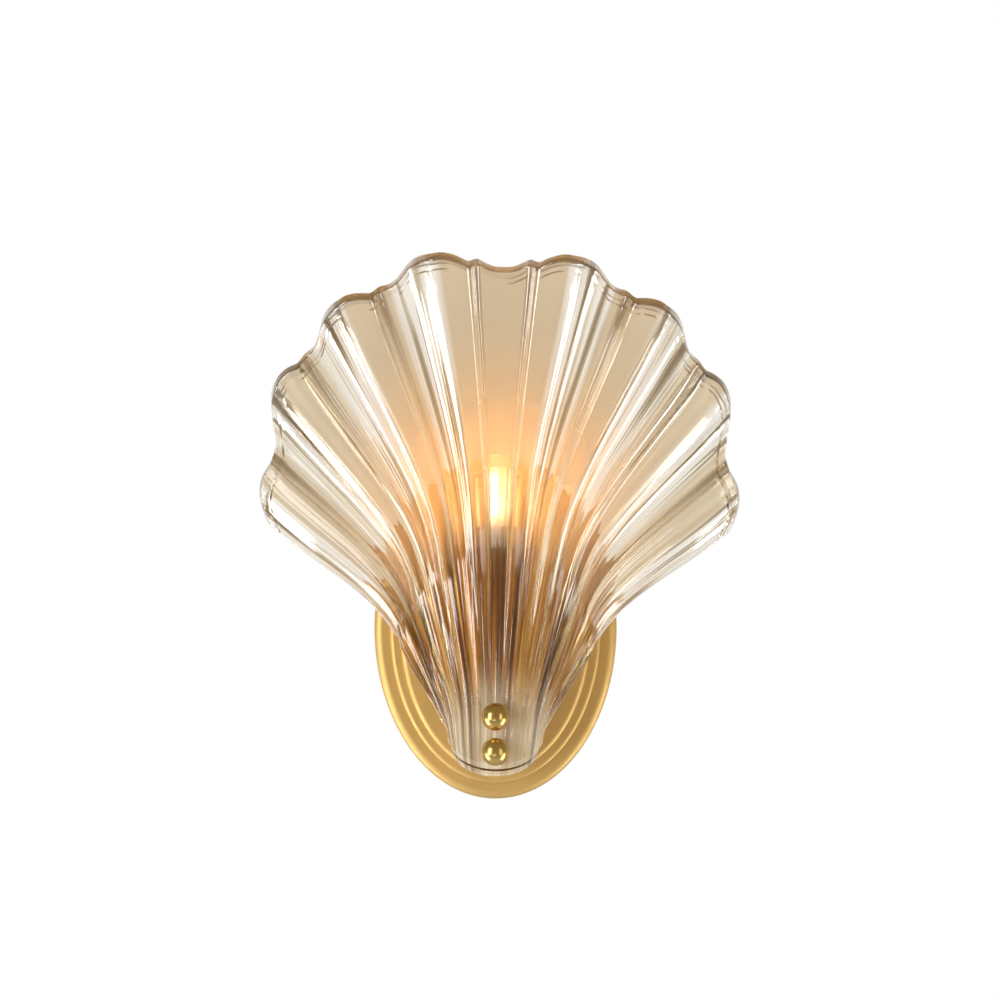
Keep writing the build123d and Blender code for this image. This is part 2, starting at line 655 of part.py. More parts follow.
def fan_points(k, skin, rows=12):
    """Points up one line of the fan, from the tongue to the rim."""
    rim = rim_line(k)
    return [shell_point(k, rim * row / rows, skin) for row in range(rows + 1)]


def glass_shell():
    """Thick fluted glass: ruled strips between splines, front and back, closed round the edge."""
    front = [fan_points(k, GLASS_THICK / 2) for k in fan_lines()]
    back = [fan_points(k, -GLASS_THICK / 2) for k in fan_lines()]
    front_lines = [Edge.make_spline(points) for points in front]
    back_lines = [Edge.make_spline(points) for points in back]
    ruled = Face.make_surface_from_curves
    faces = [ruled(front_lines[end], back_lines[end]) for end in (0, -1)]
    for left in range(len(front) - 1):
        right = left + 1
        faces.append(ruled(front_lines[left], front_lines[right]))
        faces.append(ruled(back_lines[left], back_lines[right]))
        for end in (0, -1):
            near = Edge.make_line(front[left][end], front[right][end])
            far = Edge.make_line(back[left][end], back[right][end])
            faces.append(ruled(near, far))
    glass = Solid(Shell(faces))
    middle = (STUD_Z[0] + STUD_Z[1]) / 2
    glass = Pos(0, 0, middle) * Rot(0, GLASS_TILT, 0) * Pos(0, 0, -middle) * glass
    for z in STUD_Z:
        glass -= rod(GLASS_HOLE_R, BLOCK_FRONT, BALL_BACK, z=z)
    return glass


# ---------------------------------------------------------------- what holds the glass
def glass_studs():
    """Two studs in the block's front."""
    end = BALL_BACK + STUD_INTO_BALL
    return [rod(STUD_R, BLOCK_FRONT - STUD_GRIP, end, z=z) for z in STUD_Z]


def ring_on_stud(outer_r, depth_from, depth_to, z):
    """Washer or sleeve that slips over a stud."""
    return rod(outer_r, depth_from, depth_to, z=z) - rod(SLEEVE_HOLE_R, 0, depth_to + 1, z=z)


def rear_washers():
    """Soft washers between the block and the glass."""
    return [ring_on_stud(REAR_WASHER_R, BLOCK_FRONT, BLOCK_FRONT + REAR_WASHER, z) for z in STUD_Z]


def hole_sleeves():
    """Soft sleeves that keep the studs off the glass."""
    outer = SLEEVE_HOLE_R + GLASS_SLEEVE_WALL
    return [ring_on_stud(outer, GLASS_BACK, GLASS_FRONT, z) for z in STUD_Z]


def front_washers():
    """Clear washers under the ball nuts."""
    start = GLASS_FRONT + SEAT_GAP
    return [ring_on_stud(FRONT_WASHER_R, start, start + FRONT_WASHER, z) for z in STUD_Z]


def ball_nut(z):
    """Brass ball with a flat seat and a blind threaded hole."""
    centre = BALL_BACK + math.sqrt(BALL_R**2 - BALL_SEAT_R**2)
    ball = Pos(0, -centre, z) * Sphere(BALL_R)
    ball -= slab(-BALL_R, BALL_R, BALL_BACK - BALL_R, BALL_BACK, z - BALL_R, z + BALL_R)
    return ball - rod(STUD_R + CLEARANCE, BALL_BACK - 1, BALL_BACK + BALL_THREAD, z=z)


# ---------------------------------------------------------------- wires inside the sconce
def wire(points, limits=None):
    """Insulated wire along points (x, depth, z), with an arc at each corner."""
    route = [Vector(x, -depth, z) for x, depth, z in points]
    radii = []
    for number in range(1, len(route) - 1):
        before = route[number] - route[number - 1]
        after = route[number + 1] - route[number]
        half_turn = math.radians(before.get_angle(after)) / 2
        radius = 0.45 * min(before.length, after.length) / math.tan(half_turn)
        limit = (limits or {}).get(number)
        radii.append(min(radius, limit) if limit else radius)
    path = FilletPolyline(*route, radius=radii)
    section = Plane(origin=path @ 0, z_dir=path % 0) * Circle(WIRE_R)
    return sweep(section, path=path)


def lamp_wire(side, pole_x, bend):
    """Wire from a pole, through the arm and up the holder's tube, to a contact."""
    bore_x = side * WIRE_SIDE
    pole_z = -(TERMINAL_HEIGHT / 2 - BARREL_END)
    plate_depth = ARM_TUBE_START - WIRE_TURN
    chamber_roof = CHAMBER_BOTTOM + CHAMBER_HEIGHT
    points = [
        (pole_x, TERMINAL_MIDDLE, pole_z),
        (pole_x, TERMINAL_MIDDLE, pole_z - WIRE_DROP),
        (bend[0], (TERMINAL_MIDDLE + plate_depth) / 2, ARM_Z + bend[1]),
        (bore_x, plate_depth, ARM_Z + WIRE_ABOVE),
        (bore_x, plate_depth, ARM_Z),
        (bore_x, HOLDER_DEPTH, ARM_Z),
        (bore_x, HOLDER_DEPTH, chamber_roof - WIRE_PART_LOW),
        (side * PIN_PITCH / 2, HOLDER_DEPTH, chamber_roof - WIRE_PART_HIGH),
        (side * PIN_PITCH / 2, HOLDER_DEPTH, SLOT_BOTTOM),
    ]
    elbow = HOLDER_DEPTH - BLOCK_BACK - THREAD_GRIP + TUBE_BORE_R - WIRE_R
    return wire(points, limits={4: WIRE_TURN, 5: elbow})


def earth_wire():
    """Wire from the strap's lug to the lug under the arm's nut."""
    top = lug_mouth(*EARTH_LUG)
    bottom = lug_mouth(*ARM_LUG)
    approach = lug_mouth(*ARM_LUG, reach=EARTH_REACH)
    sag = [(near + far) / 2 for near, far in zip(top, approach)]
    sag[0] -= EARTH_SAG[0]
    sag[2] -= EARTH_SAG[1]
    return wire([top, (top[0], top[1], top[2] - EARTH_DROP), sag, approach, bottom])


# ---------------------------------------------------------------- write every sub-part
def pieces():
    """Every sub-part by its node name."""
    near_pole, far_pole = pole_places()
    return {
        "wall_bracket": wall_bracket(),
        "cable_grommet": cable_grommet(),
        "back_plate": back_plate(),
        "plate_grub_screws": plate_grub_screws(),
        "earth_screw": earth_screw(),
        "earth_washer": earth_washer(),
        "earth_lug": lug(*EARTH_LUG),
        "arm_earth_lug": lug(*ARM_LUG),
        "earth_wire": earth_wire(),
        "terminal_block": terminal_block(),
        "terminal_barrels": terminal_barrels(),
        "terminal_screws": terminal_screws(),
        "terminal_fixing_screw": terminal_fixing_screw(),
        "live_wire": lamp_wire(-1, near_pole, LIVE_BEND),
        "neutral_wire": lamp_wire(1, far_pole, NEUTRAL_BEND),
        "arm_tube": arm_tube(),
        "arm_lock_washer": arm_lock_washer(),
        "arm_lock_nut": arm_lock_nut(),
        "arm_flange": arm_flange(),
        "arm_sleeve": arm_sleeve(),
        "mount_block": mount_block(),
        "holder_tube": holder_tube(),
        "holder_collar": holder_collar(),
        "holder_cup": holder_cup(),
        "cup_lock_nut": upright_nut(COLLAR_TOP + CUP_FLOOR),
        "socket_lock_nut": upright_nut(SOCKET_BOTTOM - NUT_THICK),
        "socket_body": socket_body(),
        "socket_contacts": socket_contacts(),
        "lamp_base": lamp_base(),
        "lamp_pins": lamp_pins(),
        "lamp_glass": lamp_glass(),
        "lamp_glow": lamp_glow(),
        "glass_studs": glass_studs(),
        "rear_washers": rear_washers(),
        "glass_shell": glass_shell(),
        "hole_sleeves": hole_sleeves(),
        "front_washers": front_washers(),
        "upper_ball_nut": ball_nut(STUD_Z[0]),
        "lower_ball_nut": ball_nut(STUD_Z[1]),
    }


os.makedirs("parts", exist_ok=True)
for node, shape in pieces().items():
    solids = shape if isinstance(shape, list) else [shape]
    PARTS[node] = Compound(children=[solid for item in solids for solid in item.solids()])
    export_step(PARTS[node], f"parts/{node}.step")
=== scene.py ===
# %% [markdown]
# # A shell-shaped wall sconce in pressed glass and brass
# The sconce is a fan of thick champagne-coloured glass that stands on a brass arm in front of an
# oval wall plate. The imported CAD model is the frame: every solid in it is already in its place, in
# metres, with the wall at y = 0, the room on the -Y side and +Z up. This script dresses that frame:
# it builds the one surface that needs more detail than the CAD has, which is the glass, and gives
# each piece its finish.

# %% Load the frame and keep its box
import math

import bpy
import numpy as np
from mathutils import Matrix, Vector


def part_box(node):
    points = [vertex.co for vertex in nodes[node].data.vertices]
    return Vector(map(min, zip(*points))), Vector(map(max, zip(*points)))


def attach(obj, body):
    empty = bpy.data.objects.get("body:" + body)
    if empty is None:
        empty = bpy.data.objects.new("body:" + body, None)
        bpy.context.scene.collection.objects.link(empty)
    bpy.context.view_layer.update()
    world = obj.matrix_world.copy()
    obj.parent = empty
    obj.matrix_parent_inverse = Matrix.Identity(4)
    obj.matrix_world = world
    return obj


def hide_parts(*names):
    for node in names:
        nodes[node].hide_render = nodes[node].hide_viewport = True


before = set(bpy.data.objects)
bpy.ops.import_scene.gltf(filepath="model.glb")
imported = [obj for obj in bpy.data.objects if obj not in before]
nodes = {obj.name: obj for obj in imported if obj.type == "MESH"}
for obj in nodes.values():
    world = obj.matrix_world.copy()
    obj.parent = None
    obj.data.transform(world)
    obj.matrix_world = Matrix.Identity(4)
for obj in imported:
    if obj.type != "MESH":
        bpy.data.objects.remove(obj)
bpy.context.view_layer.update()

# %% [markdown]
# ## Camera
# The sconce was photographed from straight in front with a long lens, which shows in the rim: the
# near edge of the fan is hardly larger than the plate behind it. So the camera stands 1.9 m from
# the wall at the height of the lamp and looks square at it.

# %% Camera
CAMERA_PLACE = (0.00225, -1.900, 0.0643)
FOCAL_IN_PIXELS = 3760.0
PICTURE_WIDTH = 1000.0

camera_data = bpy.data.cameras.new("camera")
camera_data.sensor_width = 36.0
camera_data.lens = FOCAL_IN_PIXELS / PICTURE_WIDTH * camera_data.sensor_width
camera = bpy.data.objects.new("camera", camera_data)
camera.location = CAMERA_PLACE
camera.rotation_euler = (math.radians(90), 0, 0)
bpy.context.scene.collection.objects.link(camera)
bpy.context.scene.camera = camera
print("lens", round(camera_data.lens, 1), "mm")

# %% [markdown]
# ## Small helpers
# A few helpers carry the whole script. They turn a written colour into the linear values that the
# renderer works in, add a shader node with its settings and links, fill in a colour ramp, and turn
# arrays of points and faces into a mesh object.

# %% Helpers
def linear(hex_colour):
    """sRGB hex to linear: c / 12.92 below 0.04045, otherwise ((c + 0.055) / 1.055) ^ 2.4."""
    srgb = np.array([int(hex_colour[i:i + 2], 16) for i in (1, 3, 5)]) / 255
    value = np.where(srgb <= 0.04045, srgb / 12.92, ((srgb + 0.055) / 1.055) ** 2.4)
    return (*value.tolist(), 1.0)


def add(tree, kind, inputs=None, **settings):
    """Add a node; an input that is given a socket is linked to it, any other gets the value."""
    node = tree.nodes.new(kind)
    for name, value in settings.items():
        setattr(node, name, value)
    for name, value in (inputs or {}).items():
        if isinstance(value, bpy.types.NodeSocket):
            tree.links.new(value, node.inputs[name])
        else:
            node.inputs[name].default_value = value
    return node


def fill_ramp(node, stops):
    """Replace the stops of a colour ramp with pairs of a place and a colour, in rising order."""
    elements = node.color_ramp.elements
    elements.remove(elements[1])
    elements[0].position = stops[0][0]
    elements[0].color = linear(stops[0][1])
    for position, colour in stops[1:]:
        elements.new(position).color = linear(colour)


def new_material(name):
    """An empty node material."""
    material = bpy.data.materials.new(name)
    material.use_nodes = True
    material.node_tree.nodes.clear()
    return material, material.node_tree


def mesh_object(name, points, faces, layers):
    """Object at the origin from an array of points, an array of quads and named uv layers, each
    with a pair per point. Points that no quad uses are dropped."""
    used, faces = np.unique(faces, return_inverse=True)
    faces = faces.reshape(-1, 4)
    mesh = bpy.data.meshes.new(name)
    mesh.from_pydata(points[used], [], faces)
    mesh.shade_smooth()
    for layer_name, uv in layers.items():
        layer = mesh.uv_layers.new(name=layer_name)
        layer.data.foreach_set("uv", uv[used][faces.ravel()].astype(np.float32).ravel())
    piece = bpy.data.objects.new(name, mesh)
    bpy.context.scene.collection.objects.link(piece)
    return piece


def quads(index):
    """Quads between neighbouring rows and columns of a grid of point numbers."""
    corners = (index[:-1, :-1], index[:-1, 1:], index[1:, 1:], index[1:, :-1])
    return np.stack(corners, -1).reshape(-1, 4)


# %% [markdown]
# ## Floor, background and light
# A plain studio: a pale round floor well below the sconce, a white background and soft lamps. The
# floor is a little brighter to the camera, straight or through the glass, so that it comes close to
# the background; it gives the object no more light for that, and keeps the object's shadow.

# %% Floor
FLOOR_Z = -1.30
FLOOR_RADIUS = 3.0
FLOOR_CORNERS = 256
FLOOR_LIFT = 0.35

floor_turn = np.linspace(0, 2 * np.pi, FLOOR_CORNERS + 1)[:-1]
floor_points = np.stack([np.cos(floor_turn), np.sin(floor_turn), 0 * floor_turn], -1) * FLOOR_RADIUS
floor_mesh = bpy.data.meshes.new("floor")
floor_mesh.from_pydata(floor_points + np.array([0, 0, FLOOR_Z]), [], [list(range(FLOOR_CORNERS))])
floor = bpy.data.objects.new("floor", floor_mesh)
bpy.context.scene.collection.objects.link(floor)
floor_paint, tree = new_material("matt_floor_paint")
path = add(tree, "ShaderNodeLightPath")
seen = add(tree, "ShaderNodeMath", {0: path.outputs["Is Camera Ray"],
                                    1: path.outputs["Is Transmission Ray"]}, operation="ADD")
lift = add(tree, "ShaderNodeMath", {0: seen.outputs[0], 1: FLOOR_LIFT}, operation="MULTIPLY")
paint = add(tree, "ShaderNodeBsdfPrincipled", {
    "Base Color": linear("#ECEAE6"), "Roughness": 0.8, "Emission Color": (1, 1, 1, 1),
    "Emission Strength": lift.outputs[0],
})
add(tree, "ShaderNodeOutputMaterial", {"Surface": paint.outputs[0]})
floor_mesh.materials.append(floor_paint)

# %% [markdown]
# The world is white to the camera. It is also white towards the wall in what the glass and the
# brass mirror or let through, so that the glass shows white. Elsewhere the room is dimmer, and warm
# in reflections, so that brass and glass have something darker than the lamps to mirror.

# %% World
ROOM_LIGHT = 0.36
WHITE = (1, 1, 1, 1)
WARM_ROOM = linear("#EFDDC0")
WALL_SIDE_START = 0.15
WALL_SIDE_FULL = 0.75

world = bpy.data.worlds.new("studio")
bpy.context.scene.world = world
world.use_nodes = True
tree = world.node_tree
tree.nodes.clear()
way = add(tree, "ShaderNodeTexCoord")
axes = add(tree, "ShaderNodeSeparateXYZ", {"Vector": way.outputs["Generated"]})
behind = add(tree, "ShaderNodeMapRange", {
    "Value": axes.outputs["Y"], "From Min": WALL_SIDE_START, "From Max": WALL_SIDE_FULL,
}, interpolation_type="SMOOTHSTEP")
path = add(tree, "ShaderNodeLightPath")
mirrored = add(tree, "ShaderNodeMath", {0: path.outputs["Is Glossy Ray"],
                                        1: path.outputs["Is Transmission Ray"]}, operation="ADD")
backdrop = add(tree, "ShaderNodeMath", {0: mirrored.outputs[0], 1: behind.outputs[0]},
               operation="MULTIPLY")
white = add(tree, "ShaderNodeMath", {0: backdrop.outputs[0], 1: path.outputs["Is Camera Ray"]},
            operation="MAXIMUM")
level = add(tree, "ShaderNodeMapRange", {"Value": white.outputs[0], "To Min": ROOM_LIGHT,
                                         "To Max": 1.0})
warm = add(tree, "ShaderNodeMath", {0: path.outputs["Is Glossy Ray"], 1: white.outputs[0]},
           operation="SUBTRACT", use_clamp=True)
room = add(tree, "ShaderNodeMix", {0: warm.outputs[0], 6: WHITE, 7: WARM_ROOM}, data_type="RGBA")
sky = add(tree, "ShaderNodeBackground", {"Color": room.outputs[2], "Strength": level.outputs[0]})
add(tree, "ShaderNodeOutputWorld", {"Surface": sky.outputs[0]})

# %% [markdown]
# Five soft lamps stand out of the picture, and each looks at the middle of the sconce. The two low
# ones at the sides give the balls and the rolled edge of the plate their bright lines, the two tall
# ones beside the camera light the faces, the left one more, and the small one fills in from below.

# %% Soft lamps
MIDDLE_Z = 0.05
LAMPS = {
    # name: (degrees to the right of the camera, degrees up, metres), (width, height), watts
    "left_low_strip": ((-78, -35, 1.40), (0.55, 0.95), 9.0),
    "right_low_strip": ((78, -35, 1.40), (0.45, 0.95), 7.0),
    "left_front_strip": ((-46, 2, 1.40), (0.45, 1.10), 10.0),
    "right_front_strip": ((44, -2, 1.40), (0.34, 1.10), 2.2),
    "low_front_lamp": ((-8, -26, 1.50), (0.60, 0.22), 0.8),
}


def bearing(turn, climb, distance):
    """Place at a bearing from the middle of the sconce: x = distance * sin(turn) * cos(climb),
    y = -distance * cos(turn) * cos(climb), z = distance * sin(climb)."""
    turn, climb = math.radians(turn), math.radians(climb)
    return (distance * math.sin(turn) * math.cos(climb), -distance * math.cos(turn) * math.cos(climb),
            distance * math.sin(climb) + MIDDLE_Z)


for name, (place, size, power) in LAMPS.items():
    lamp_data = bpy.data.lights.new(name, "AREA")
    lamp_data.shape = "RECTANGLE"
    lamp_data.size, lamp_data.size_y = size
    lamp_data.energy = power
    lamp = bpy.data.objects.new(name, lamp_data)
    lamp.location = bearing(*place)
    aim = Vector((0, 0, MIDDLE_Z)) - lamp.location
    lamp.rotation_euler = aim.to_track_quat("-Z", "Y").to_euler()
    bpy.context.scene.collection.objects.link(lamp)

# %% [markdown]
# ## The glass shell
# The real shell is pressed: hot glass squeezed between two moulds, then fire polished, so that its
# edges are round and its surface is glossy. It is a fan with four ribs on each side of a flat
# middle valley. Sculpting it by hand would take many strokes and come out uneven, so the whole
# shell is one formula. Two numbers name each point: k counts flutes from the middle, and h goes up
# the fan from the tongue, which is screwed to the arm, to the scalloped rim. A change over a stretch
# of k or h is written as a pair: where it starts, and how long it takes.

# %% Shell formula (millimetres and flutes)
FLUTES = 4
FLUTE_TURN = 22.5

FOOT_FADES = (0.0, 45.0)
FOOT_EXTRA_WIDTH = 4.0
THROAT_HALF_WIDTH = 16.5
THROAT_SPREAD = 0.23
BOWL_SPREAD = 0.53
BOWL_START = 145.0
BOWL_BEND = 15.0

TONGUE_DEPTH = 64.0
LEAN_SLOPE = 0.45
LEAN_STARTS = (38.0, 152.0)
LIP_DEPTH = 8.0
LIP_STARTS = (212.0, 38.0)

TONGUE_Z = -70.5
FOOT_ROUND = 8.0
FOOT_EXTRA_ROUND = 4.5
SIDE_CLIMB = 0.50
MIDDLE_CLIMB = 0.53
SIDE_CURL = 4.5
CURL_ACROSS = (0.775, 0.225)
CURL_STARTS = (40.0, 70.0)
CURL_ENDS = (190.0, 60.0)
WRAP_BEND = 0.8
WRAP_STARTS = (30.0, 90.0)

RIB_RISES = (0.24, 0.12)
RIB_FALLS = (0.64, 0.33)

RIM_HEIGHT = 238.5
RIM_SIDE_DROP = 20.0
RIM_MIDDLE_DROP = 1.5
RIM_MIDDLE = (0.0, 0.5)
SCALLOP_HEIGHT = 12.0
SCALLOP_START = 0.05
SCALLOP_TOP = 0.66
LAST_SCALLOP_START = 0.15
LAST_SCALLOP_TOP = 0.72
SCALLOP_RISE = 0.60
SCALLOP_FALL = 0.62
SCALLOP_TAIL = (-0.34, SCALLOP_FALL)


def ease(value):
    """Smooth step: 3 v^2 - 2 v^3, held at 0 below 0 and at 1 above 1."""
    value = np.clip(value, 0, 1)
    return value * value * (3 - 2 * value)


def over(value, stretch):
    """Smooth step of a value over a stretch, given as its start and its length."""
    return ease((value - stretch[0]) / stretch[1])


def fan_radius(h):
    """Half width: 16.5 + 0.23 h for the throat, plus 0.53 per mm past h = 145 for the bowl; the
    tongue is 4 mm wider at its foot."""
    tongue = FOOT_EXTRA_WIDTH * (1 - over(h, FOOT_FADES))
    bowl = BOWL_SPREAD * BOWL_BEND * np.logaddexp(0, (h - BOWL_START) / BOWL_BEND)
    return THROAT_HALF_WIDTH + THROAT_SPREAD * h + tongue + bowl


def lean_depth(h):
    """Distance from the wall: 64 at the tongue, an even curve up to a slope of 0.45 between h = 38
    and h = 190, and a lip that leans out up to 8 more over 38 mm, as the cube of the way."""
    share = np.maximum(0, (h - LEAN_STARTS[0]) / LEAN_STARTS[1])
    run = np.where(share < 1, share**3 - share**4 / 2, share - 0.5)
    lip = LIP_DEPTH * np.maximum(0, (h - LIP_STARTS[0]) / LIP_STARTS[1]) ** 3
    return TONGUE_DEPTH + LEAN_SLOPE * LEAN_STARTS[1] * run + lip


def smooth_shell(k, h):
    """Shell without its flutes: a fan of 22.5 degrees for each flute, bent round like a bowl.
    Across, x = radius * sin(turn), and the free edges curl 4.5 mm outwards half way up. Upwards,
    z = -70.5 + foot * (1 - cos(turn)) + (0.50 + 0.53 cos(turn)) * h: the sides climb half as fast
    as the middle, and foot, 12.5 at the end of the tongue and 8 above it, makes its end round."""
    turn = np.radians(k * FLUTE_TURN)
    radius = fan_radius(h)
    curl = SIDE_CURL * over(np.abs(k) / FLUTES, CURL_ACROSS) * over(h, CURL_STARTS)
    curl = curl * (1 - over(h, CURL_ENDS))
    x = radius * np.sin(turn) + np.sign(k) * curl
    foot = FOOT_ROUND + FOOT_EXTRA_ROUND * (1 - over(h, FOOT_FADES))
    z = TONGUE_Z + foot * (1 - np.cos(turn)) + (SIDE_CLIMB + MIDDLE_CLIMB * np.cos(turn)) * h
    bend = 1 - np.sqrt(1 - (WRAP_BEND * np.sin(turn)) ** 2)
    wrap = radius / WRAP_BEND * bend * over(h, WRAP_STARTS)
    return np.stack([x, wrap - lean_depth(h), z], -1)


def flute_share(away):
    """Share of the way across its flute, from 0 to 1; 1 at the free edge and past it."""
    return np.where(away >= FLUTES, 1.0, away % 1.0)


def flute(k):
    """One rib in each flute: up between 0.24 and 0.36 of its width, down from 0.64 to 0.97."""
    share = flute_share(np.abs(k))
    return over(share, RIB_RISES) * (1 - over(share, RIB_FALLS))


def rim_line(k):
    """Value of h at the rim: one scallop of 12 mm for each rib, 20 mm lower at the sides. Each
    scallop rises from 0.05 to 0.65 of its flute and falls from 0.66 to 0.28 of the next one; the
    last one is 0.10 and 0.06 further out. The middle valley dips 1.5 mm."""
    away = np.abs(k)
    share = flute_share(away)
    last = away > FLUTES - 1
    rise = ease((share - np.where(last, LAST_SCALLOP_START, SCALLOP_START)) / SCALLOP_RISE)
    top = np.where(last, LAST_SCALLOP_TOP, SCALLOP_TOP)
    tail = np.where(away < 1, 0.0, 1 - over(share, SCALLOP_TAIL))
    wave = np.where(share > top, 1 - ease((share - top) / SCALLOP_FALL), np.minimum(1, rise + tail))
    side_drop = RIM_SIDE_DROP * (away / FLUTES) ** 4
    middle_drop = RIM_MIDDLE_DROP * (1 - over(away, RIM_MIDDLE))
    return RIM_HEIGHT - side_drop + SCALLOP_HEIGHT * wave - middle_drop


def unit(vectors):
    """Vectors scaled to length 1."""
    return vectors / np.linalg.norm(vectors, axis=-1, keepdims=True)


def directions(k, h):
    """Unit vectors across the fan, up the fan, and out of its front."""
    step = 1e-3
    across = smooth_shell(k + step, h) - smooth_shell(k - step, h)
    up = smooth_shell(k, h + step) - smooth_shell(k, h - step)
    return unit(across), unit(up), unit(np.cross(across, up))


# %% [markdown]
# The glass is 6.5 mm thick, and a little thinner in a narrow band along the rim. Two sheets of
# points are worked out, front and back, and they meet in the middle of the rim, of the tongue and
# of the two free edges. On its way there each sheet goes round a small corner, because fire
# polishing leaves a radius of about one millimetre. The mould's own ridges run up both sheets. The
# shell hangs one degree out of square, as in the photograph.

# %% Shell mesh
GLASS_HALF = 3.25
EDGE_ROUND = 1.1
EDGE_ARC_LINES = 5
EDGE_FACE_LINE = 0.35
FLUTE_COLUMNS = 42
SHELL_ROWS = 100
FIRST_ROW = 0.034
LAST_ROW = 0.966
RIM_BAND = [6.6, 6.1, 5.6, 3.4]
RIM_THIN = [1.0, 1.0, 0.96, 0.84]
RIB_DEPTH = 7.0
RIB_STARTS = (36.0, 214.0)
RIB_POWER = 0.8
STUD_HEIGHTS = (-41.0, -58.0)
STUD_MIDDLE = sum(STUD_HEIGHTS) / 2
SHELL_TURN = 1.0

# Each wave: its size, waves for each flute, its start, and its share of the sheet's phase.
THROAT_WAVES = ((0.5, 1.9, 0, 1), (0.3, 3.4, 1, 1), (0.2, 5.7, 0, 2))
LOBE_WAVES = ((0.4, 4.3, 0, 1), (0.3, 6.1, 2, -1), (0.3, 8.2, 0, 3))
BACK_PHASE = 1.7
FRONT_DEPTH = 0.5
THROAT_RIDGES = 0.45
BOWL_RIDGES = 0.08
LOBE_RIDGES = 0.28
RIDGES_START = (4.0, 20.0)
THROAT_ENDS = (70.0, 110.0)
LOBES_START = (1.0, 1.4)


def waves(k, table, phase):
    """Sum of size * sin(2 pi * pitch * k + start + share * phase) over a table of waves."""
    return sum(size * np.sin(2 * np.pi * pitch * k + start + share * phase)
               for size, pitch, start, share in table)


def ridge_relief(k, h, side):
    """Fine mould ridges that run up the fan: three waves of different pitch in the throat, and
    three finer ones in the side lobes; the front has half of the back's depth."""
    phase = 0.0 if side > 0 else BACK_PHASE
    low = 1 - over(h, THROAT_ENDS)
    outside = over(np.abs(k), LOBES_START) * (1 - low)
    relief = (BOWL_RIDGES + THROAT_RIDGES * low) * waves(k, THROAT_WAVES, phase)
    relief = relief + LOBE_RIDGES * outside * waves(k, LOBE_WAVES, phase)
    return relief * over(h, RIDGES_START) * (FRONT_DEPTH if side > 0 else 1.0)


def edge_steps(inside, band, thinner):
    """Places of the grid lines from one edge to the other, which are the given shares inside and
    the lines of both edges. Each line has a share (0 to 1) of the way, a step beyond the end and a
    share of half the thickness. An edge is a band of given steps and thicknesses, a quarter
    circle, and an end face that closes at the middle of the glass."""
    arc = np.linspace(0, np.pi / 2, EDGE_ARC_LINES)
    reach = np.concatenate([-np.array(band), EDGE_ROUND * (np.sin(arc) - 1), [0.0, 0.0]])
    round_off = np.append(1 - EDGE_ROUND / GLASS_HALF * (1 - np.cos(arc)), [EDGE_FACE_LINE, 0.0])
    thick = np.concatenate([thinner, round_off * (thinner[-1] if thinner else 1)])
    share = np.concatenate([np.zeros(len(reach)), inside, np.ones(len(reach))])
    beyond = np.concatenate([-reach[::-1], np.zeros(len(inside)), reach])
    return share, beyond, np.concatenate([thick[::-1], np.ones(len(inside)), thick])


def glass_points(side):
    """One sheet as smooth shell + out * (7 mm * rib * growth + side * half thickness + ridges),
    with two uv pairs per point: flutes from the middle and centimetres up the fan, and flutes and
    centimetres below the rim."""
    rows = np.linspace(FIRST_ROW, LAST_ROW, SHELL_ROWS)
    row, row_beyond, row_thick = edge_steps(rows, RIM_BAND, RIM_THIN)
    columns = np.linspace(0, 1, 2 * FLUTES * FLUTE_COLUMNS + 1)[1:-1]
    column, column_beyond, column_thick = edge_steps(columns, [], [])
    k = (2 * FLUTES * column - FLUTES)[None, :] + 0 * row[:, None]
    h = row[:, None] * rim_line(k)
    across, up, out = directions(k, h)
    growth = RIB_DEPTH * over(h, RIB_STARTS) ** RIB_POWER
    skin = side * GLASS_HALF * row_thick[:, None] * column_thick[None, :]
    skin = skin + ridge_relief(k, h, side) * row_thick[:, None] * column_thick[None, :]
    points = smooth_shell(k, h) + out * (growth * flute(k) + skin)[..., None]
    points += up * row_beyond[:, None, None] + across * column_beyond[None, :, None]
    h = h + row_beyond[:, None]
    turn = math.radians(SHELL_TURN)
    x, z = points[..., 0], points[..., 2] - STUD_MIDDLE
    points = np.stack([
        math.cos(turn) * x + math.sin(turn) * z,
        points[..., 1],
        math.cos(turn) * z - math.sin(turn) * x + STUD_MIDDLE,
    ], -1)
    return points / 1000, np.stack([k, h / 10], -1), np.stack([k, (rim_line(k) - h) / 10], -1)


front, front_along, front_rim = glass_points(1)
back, back_along, back_rim = glass_points(-1)
front_index = np.arange(front[..., 0].size).reshape(front.shape[:2])
back_index = front_index + front_index.size
for border in (np.s_[0, :], np.s_[-1, :], np.s_[:, 0], np.s_[:, -1]):
    back_index[border] = front_index[border]
shell = mesh_object(
    "fluted_shell",
    np.concatenate([front.reshape(-1, 3), back.reshape(-1, 3)]),
    np.concatenate([quads(front_index), quads(back_index)[:, ::-1]]),
    {"along": np.concatenate([front_along.reshape(-1, 2), back_along.reshape(-1, 2)]),
     "rim": np.concatenate([front_rim.reshape(-1, 2), back_rim.reshape(-1, 2)])},
)
print("shell quads", len(shell.data.polygons))

# %% [markdown]
# Two studs go through the tongue. Their holes are cut with one boolean, and the corners that it
# leaves stay sharp.

# %% Drill the two stud holes (metres)
HOLE_CORNERS = 48
STUD_HOLE_RADIUS = 0.00373
DRILL_LENGTH = 0.020
SHARP_ANGLE = math.radians(50)


